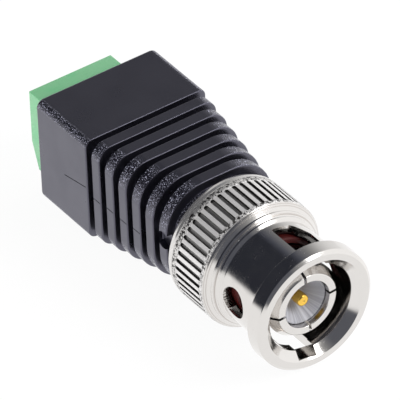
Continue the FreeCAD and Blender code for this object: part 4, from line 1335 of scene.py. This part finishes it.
@dataclass
class Studio:
    """Pale floor, soft lamps and the camera at the photograph's angle."""

    floor_place: float = -7.2
    camera_place: tuple[float, float, float] = (388.622, -274.18, 385.868)
    camera_right: tuple[float, float, float] = (0.57850086, 0.81501544, -0.03296332)
    camera_down: tuple[float, float, float] = (0.48722478, -0.37767956, -0.78738184)
    sensor: float = 36.0
    lens: float = 561.76

    def camera(self) -> None:
        """Camera at the place that fits the photograph."""
        data = bpy.data.cameras.new("camera")
        data.sensor_width = self.sensor
        data.lens = self.lens
        data.clip_start = 0.01
        data.clip_end = 20.0
        right = Vector(self.camera_right).normalized()
        down = Vector(self.camera_down)
        down = (down - right * right.dot(down)).normalized()
        ahead = right.cross(down)
        camera = bpy.data.objects.new("camera", data)
        turn = Matrix((right, -down, -ahead)).transposed().to_4x4()
        camera.matrix_world = Matrix.Translation(Vector(self.camera_place) * MM) @ turn
        bpy.context.scene.collection.objects.link(camera)
        bpy.context.scene.camera = camera

    def floor(self) -> None:
        """White floor that keeps a faint shadow, and is see-through from below and for mirrors."""
        half = 2.0
        mesh = bpy.data.meshes.new("floor")
        z = self.floor_place * MM
        mesh.from_pydata([(-half, -half, z), (half, -half, z), (half, half, z), (-half, half, z)], [], [(0, 1, 2, 3)])
        material = bpy.data.materials.new("white_paper_floor")
        material.use_nodes = True
        tree = material.node_tree
        tree.nodes.clear()
        ray = add_node(tree, "ShaderNodeLightPath").outputs
        side = add_node(tree, "ShaderNodeNewGeometry").outputs["Backfacing"]
        paper = add_node(tree, "ShaderNodeBsdfDiffuse", {"Color": linear("f2f2f2")})
        glow = add_node(tree, "ShaderNodeEmission", {"Color": linear("ffffff"), "Strength": 1.0})
        seen = add_node(tree, "ShaderNodeMixShader", {0: 0.93, 1: paper.outputs[0], 2: glow.outputs[0]})
        plain = add_node(tree, "ShaderNodeMixShader", {
            0: ray["Is Camera Ray"], 1: paper.outputs[0], 2: seen.outputs[0]})
        clear = add_node(tree, "ShaderNodeBsdfTransparent")
        through = sums(tree, "MAXIMUM", side, sums(
            tree, "MAXIMUM", ray["Is Glossy Ray"], ray["Is Transmission Ray"]))
        whole = add_node(tree, "ShaderNodeMixShader", {0: through, 1: plain.outputs[0], 2: clear.outputs[0]})
        add_node(tree, "ShaderNodeOutputMaterial", {"Surface": whole.outputs[0]})
        mesh.materials.append(material)
        floor = bpy.data.objects.new("floor", mesh)
        bpy.context.scene.collection.objects.link(floor)

    def surroundings(self) -> None:
        """White for the camera, even light on the object, and a dim studio for mirrors."""
        world = bpy.data.worlds.new("studio")
        bpy.context.scene.world = world
        world.use_nodes = True
        tree = world.node_tree
        tree.nodes.clear()
        ray = add_node(tree, "ShaderNodeLightPath").outputs
        way = add_node(tree, "ShaderNodeSeparateXYZ", {
            0: add_node(tree, "ShaderNodeTexCoord").outputs["Generated"]}).outputs
        below = ramp(tree, way[2], 0.06, -0.08, 0.0, 1.08)
        aside = sums(tree, "ADD", way[1], sums(tree, "MULTIPLY", way[0], 0.25))
        right = sums(tree, "ADD", ramp(tree, aside, -0.25, 0.35, 0.0, 0.25),
                     ramp(tree, aside, 0.25, 0.85, 0.0, 0.95))
        front = ramp(tree, way[0], 0.1, 0.85, 0.045, 0.16)
        horizon = sums(tree, "MULTIPLY", ramp(tree, way[2], 0.6, 0.1, 0.0, 0.7),
                       ramp(tree, way[1], -0.35, 0.3))
        level = sums(tree, "MAXIMUM", sums(tree, "MAXIMUM", below, right),
                     sums(tree, "MAXIMUM", front, horizon))
        mirror = sums(tree, "MAXIMUM", ray["Is Glossy Ray"], ray["Is Transmission Ray"])
        spread = sums(tree, "MULTIPLY", sums(tree, "SUBTRACT", 1.0, mirror), 0.62)
        mirrored = sums(tree, "ADD", sums(tree, "MULTIPLY", mirror, level), spread)
        camera = ray["Is Camera Ray"]
        strength = sums(tree, "ADD", sums(tree, "MULTIPLY", mirrored, sums(tree, "SUBTRACT", 1.0, camera)), camera)
        cold = sums(tree, "MULTIPLY", mirror, ramp(tree, level, 0.3, 0.05, 0.0, 1.0))
        back = add_node(tree, "ShaderNodeBackground", {
            "Color": mixed(tree, cold, "ffffff", "c8d0ee"), "Strength": strength})
        add_node(tree, "ShaderNodeOutputWorld", {"Surface": back.outputs[0]})

    def lamp(self, name: str, place: tuple[float, float, float], size: float, power: float,
             mirrored: bool = True) -> None:
        """A square soft lamp that looks at the object.

        Args:
            name: the lamp's name.
            place: where it hangs, in millimetres.
            size: its side in millimetres.
            power: its power in watts.
            mirrored: whether shiny surfaces mirror it.
        """
        data = bpy.data.lights.new(name, "AREA")
        data.size = size * MM
        data.energy = power
        lamp = bpy.data.objects.new(name, data)
        middle = Vector((-18.0, 0.0, 0.0))
        place_vector = Vector(place)
        turn: Quaternion = (middle - place_vector).to_track_quat("-Z", "Y")
        lamp.matrix_world = Matrix.Translation(place_vector * MM) @ turn.to_matrix().to_4x4()
        lamp.visible_glossy = mirrored
        bpy.context.scene.collection.objects.link(lamp)

    def build(self) -> None:
        """Sets the room up."""
        bpy.context.scene.view_settings.view_transform = "Standard"
        self.camera()
        self.floor()
        self.surroundings()
        self.lamp("front_softbox", (340, 250, 380), 340, 2.2, mirrored=False)
        self.lamp("front_window", (350, 260, 400), 220, 0.6)
        self.lamp("right_softbox", (-60, 420, 160), 260, 1.2, mirrored=False)
        self.lamp("left_softbox", (-60, -420, 60), 300, 2.2, mirrored=False)


def dress_frame_nodes(nodes: dict[str, bpy.types.Object], finishes: Finishes) -> None:
    """Gives the frame's own nodes that stay in view their finishes.

    Args:
        nodes: the frame's nodes by name.
        finishes: the finishes by slot.
    """
    kept = {
        "plug_body": Slot.NICKEL,
        "rear_insulator": Slot.INSULATOR,
        "retaining_ring": Slot.SPRING,
        "thrust_washer": Slot.SPRING,
        "signal_lead": Slot.RED_PVC,
        "ground_lead": Slot.BLACK_PVC,
    }
    for name, slot in kept.items():
        mesh = nodes[name].data
        mesh.materials.clear()
        mesh.materials.append(finishes[slot])
        log.info("%s keeps its frame mesh as %s", name, slot.value)


def main() -> None:
    """Loads the frame and builds the room and every piece."""
    logging.basicConfig(level=logging.INFO, format="%(name)s: %(message)s")
    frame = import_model()
    Studio().build()
    finishes = Finishes()
    cutter = RingCutter()
    CouplingNut(finishes, cutter).build()
    PlugCore(finishes, cutter).build()
    Housing(finishes).build()
    TerminalBlock(finishes).build()
    dress_frame_nodes(frame["nodes"], finishes)


if __name__ == "__main__":
    main()
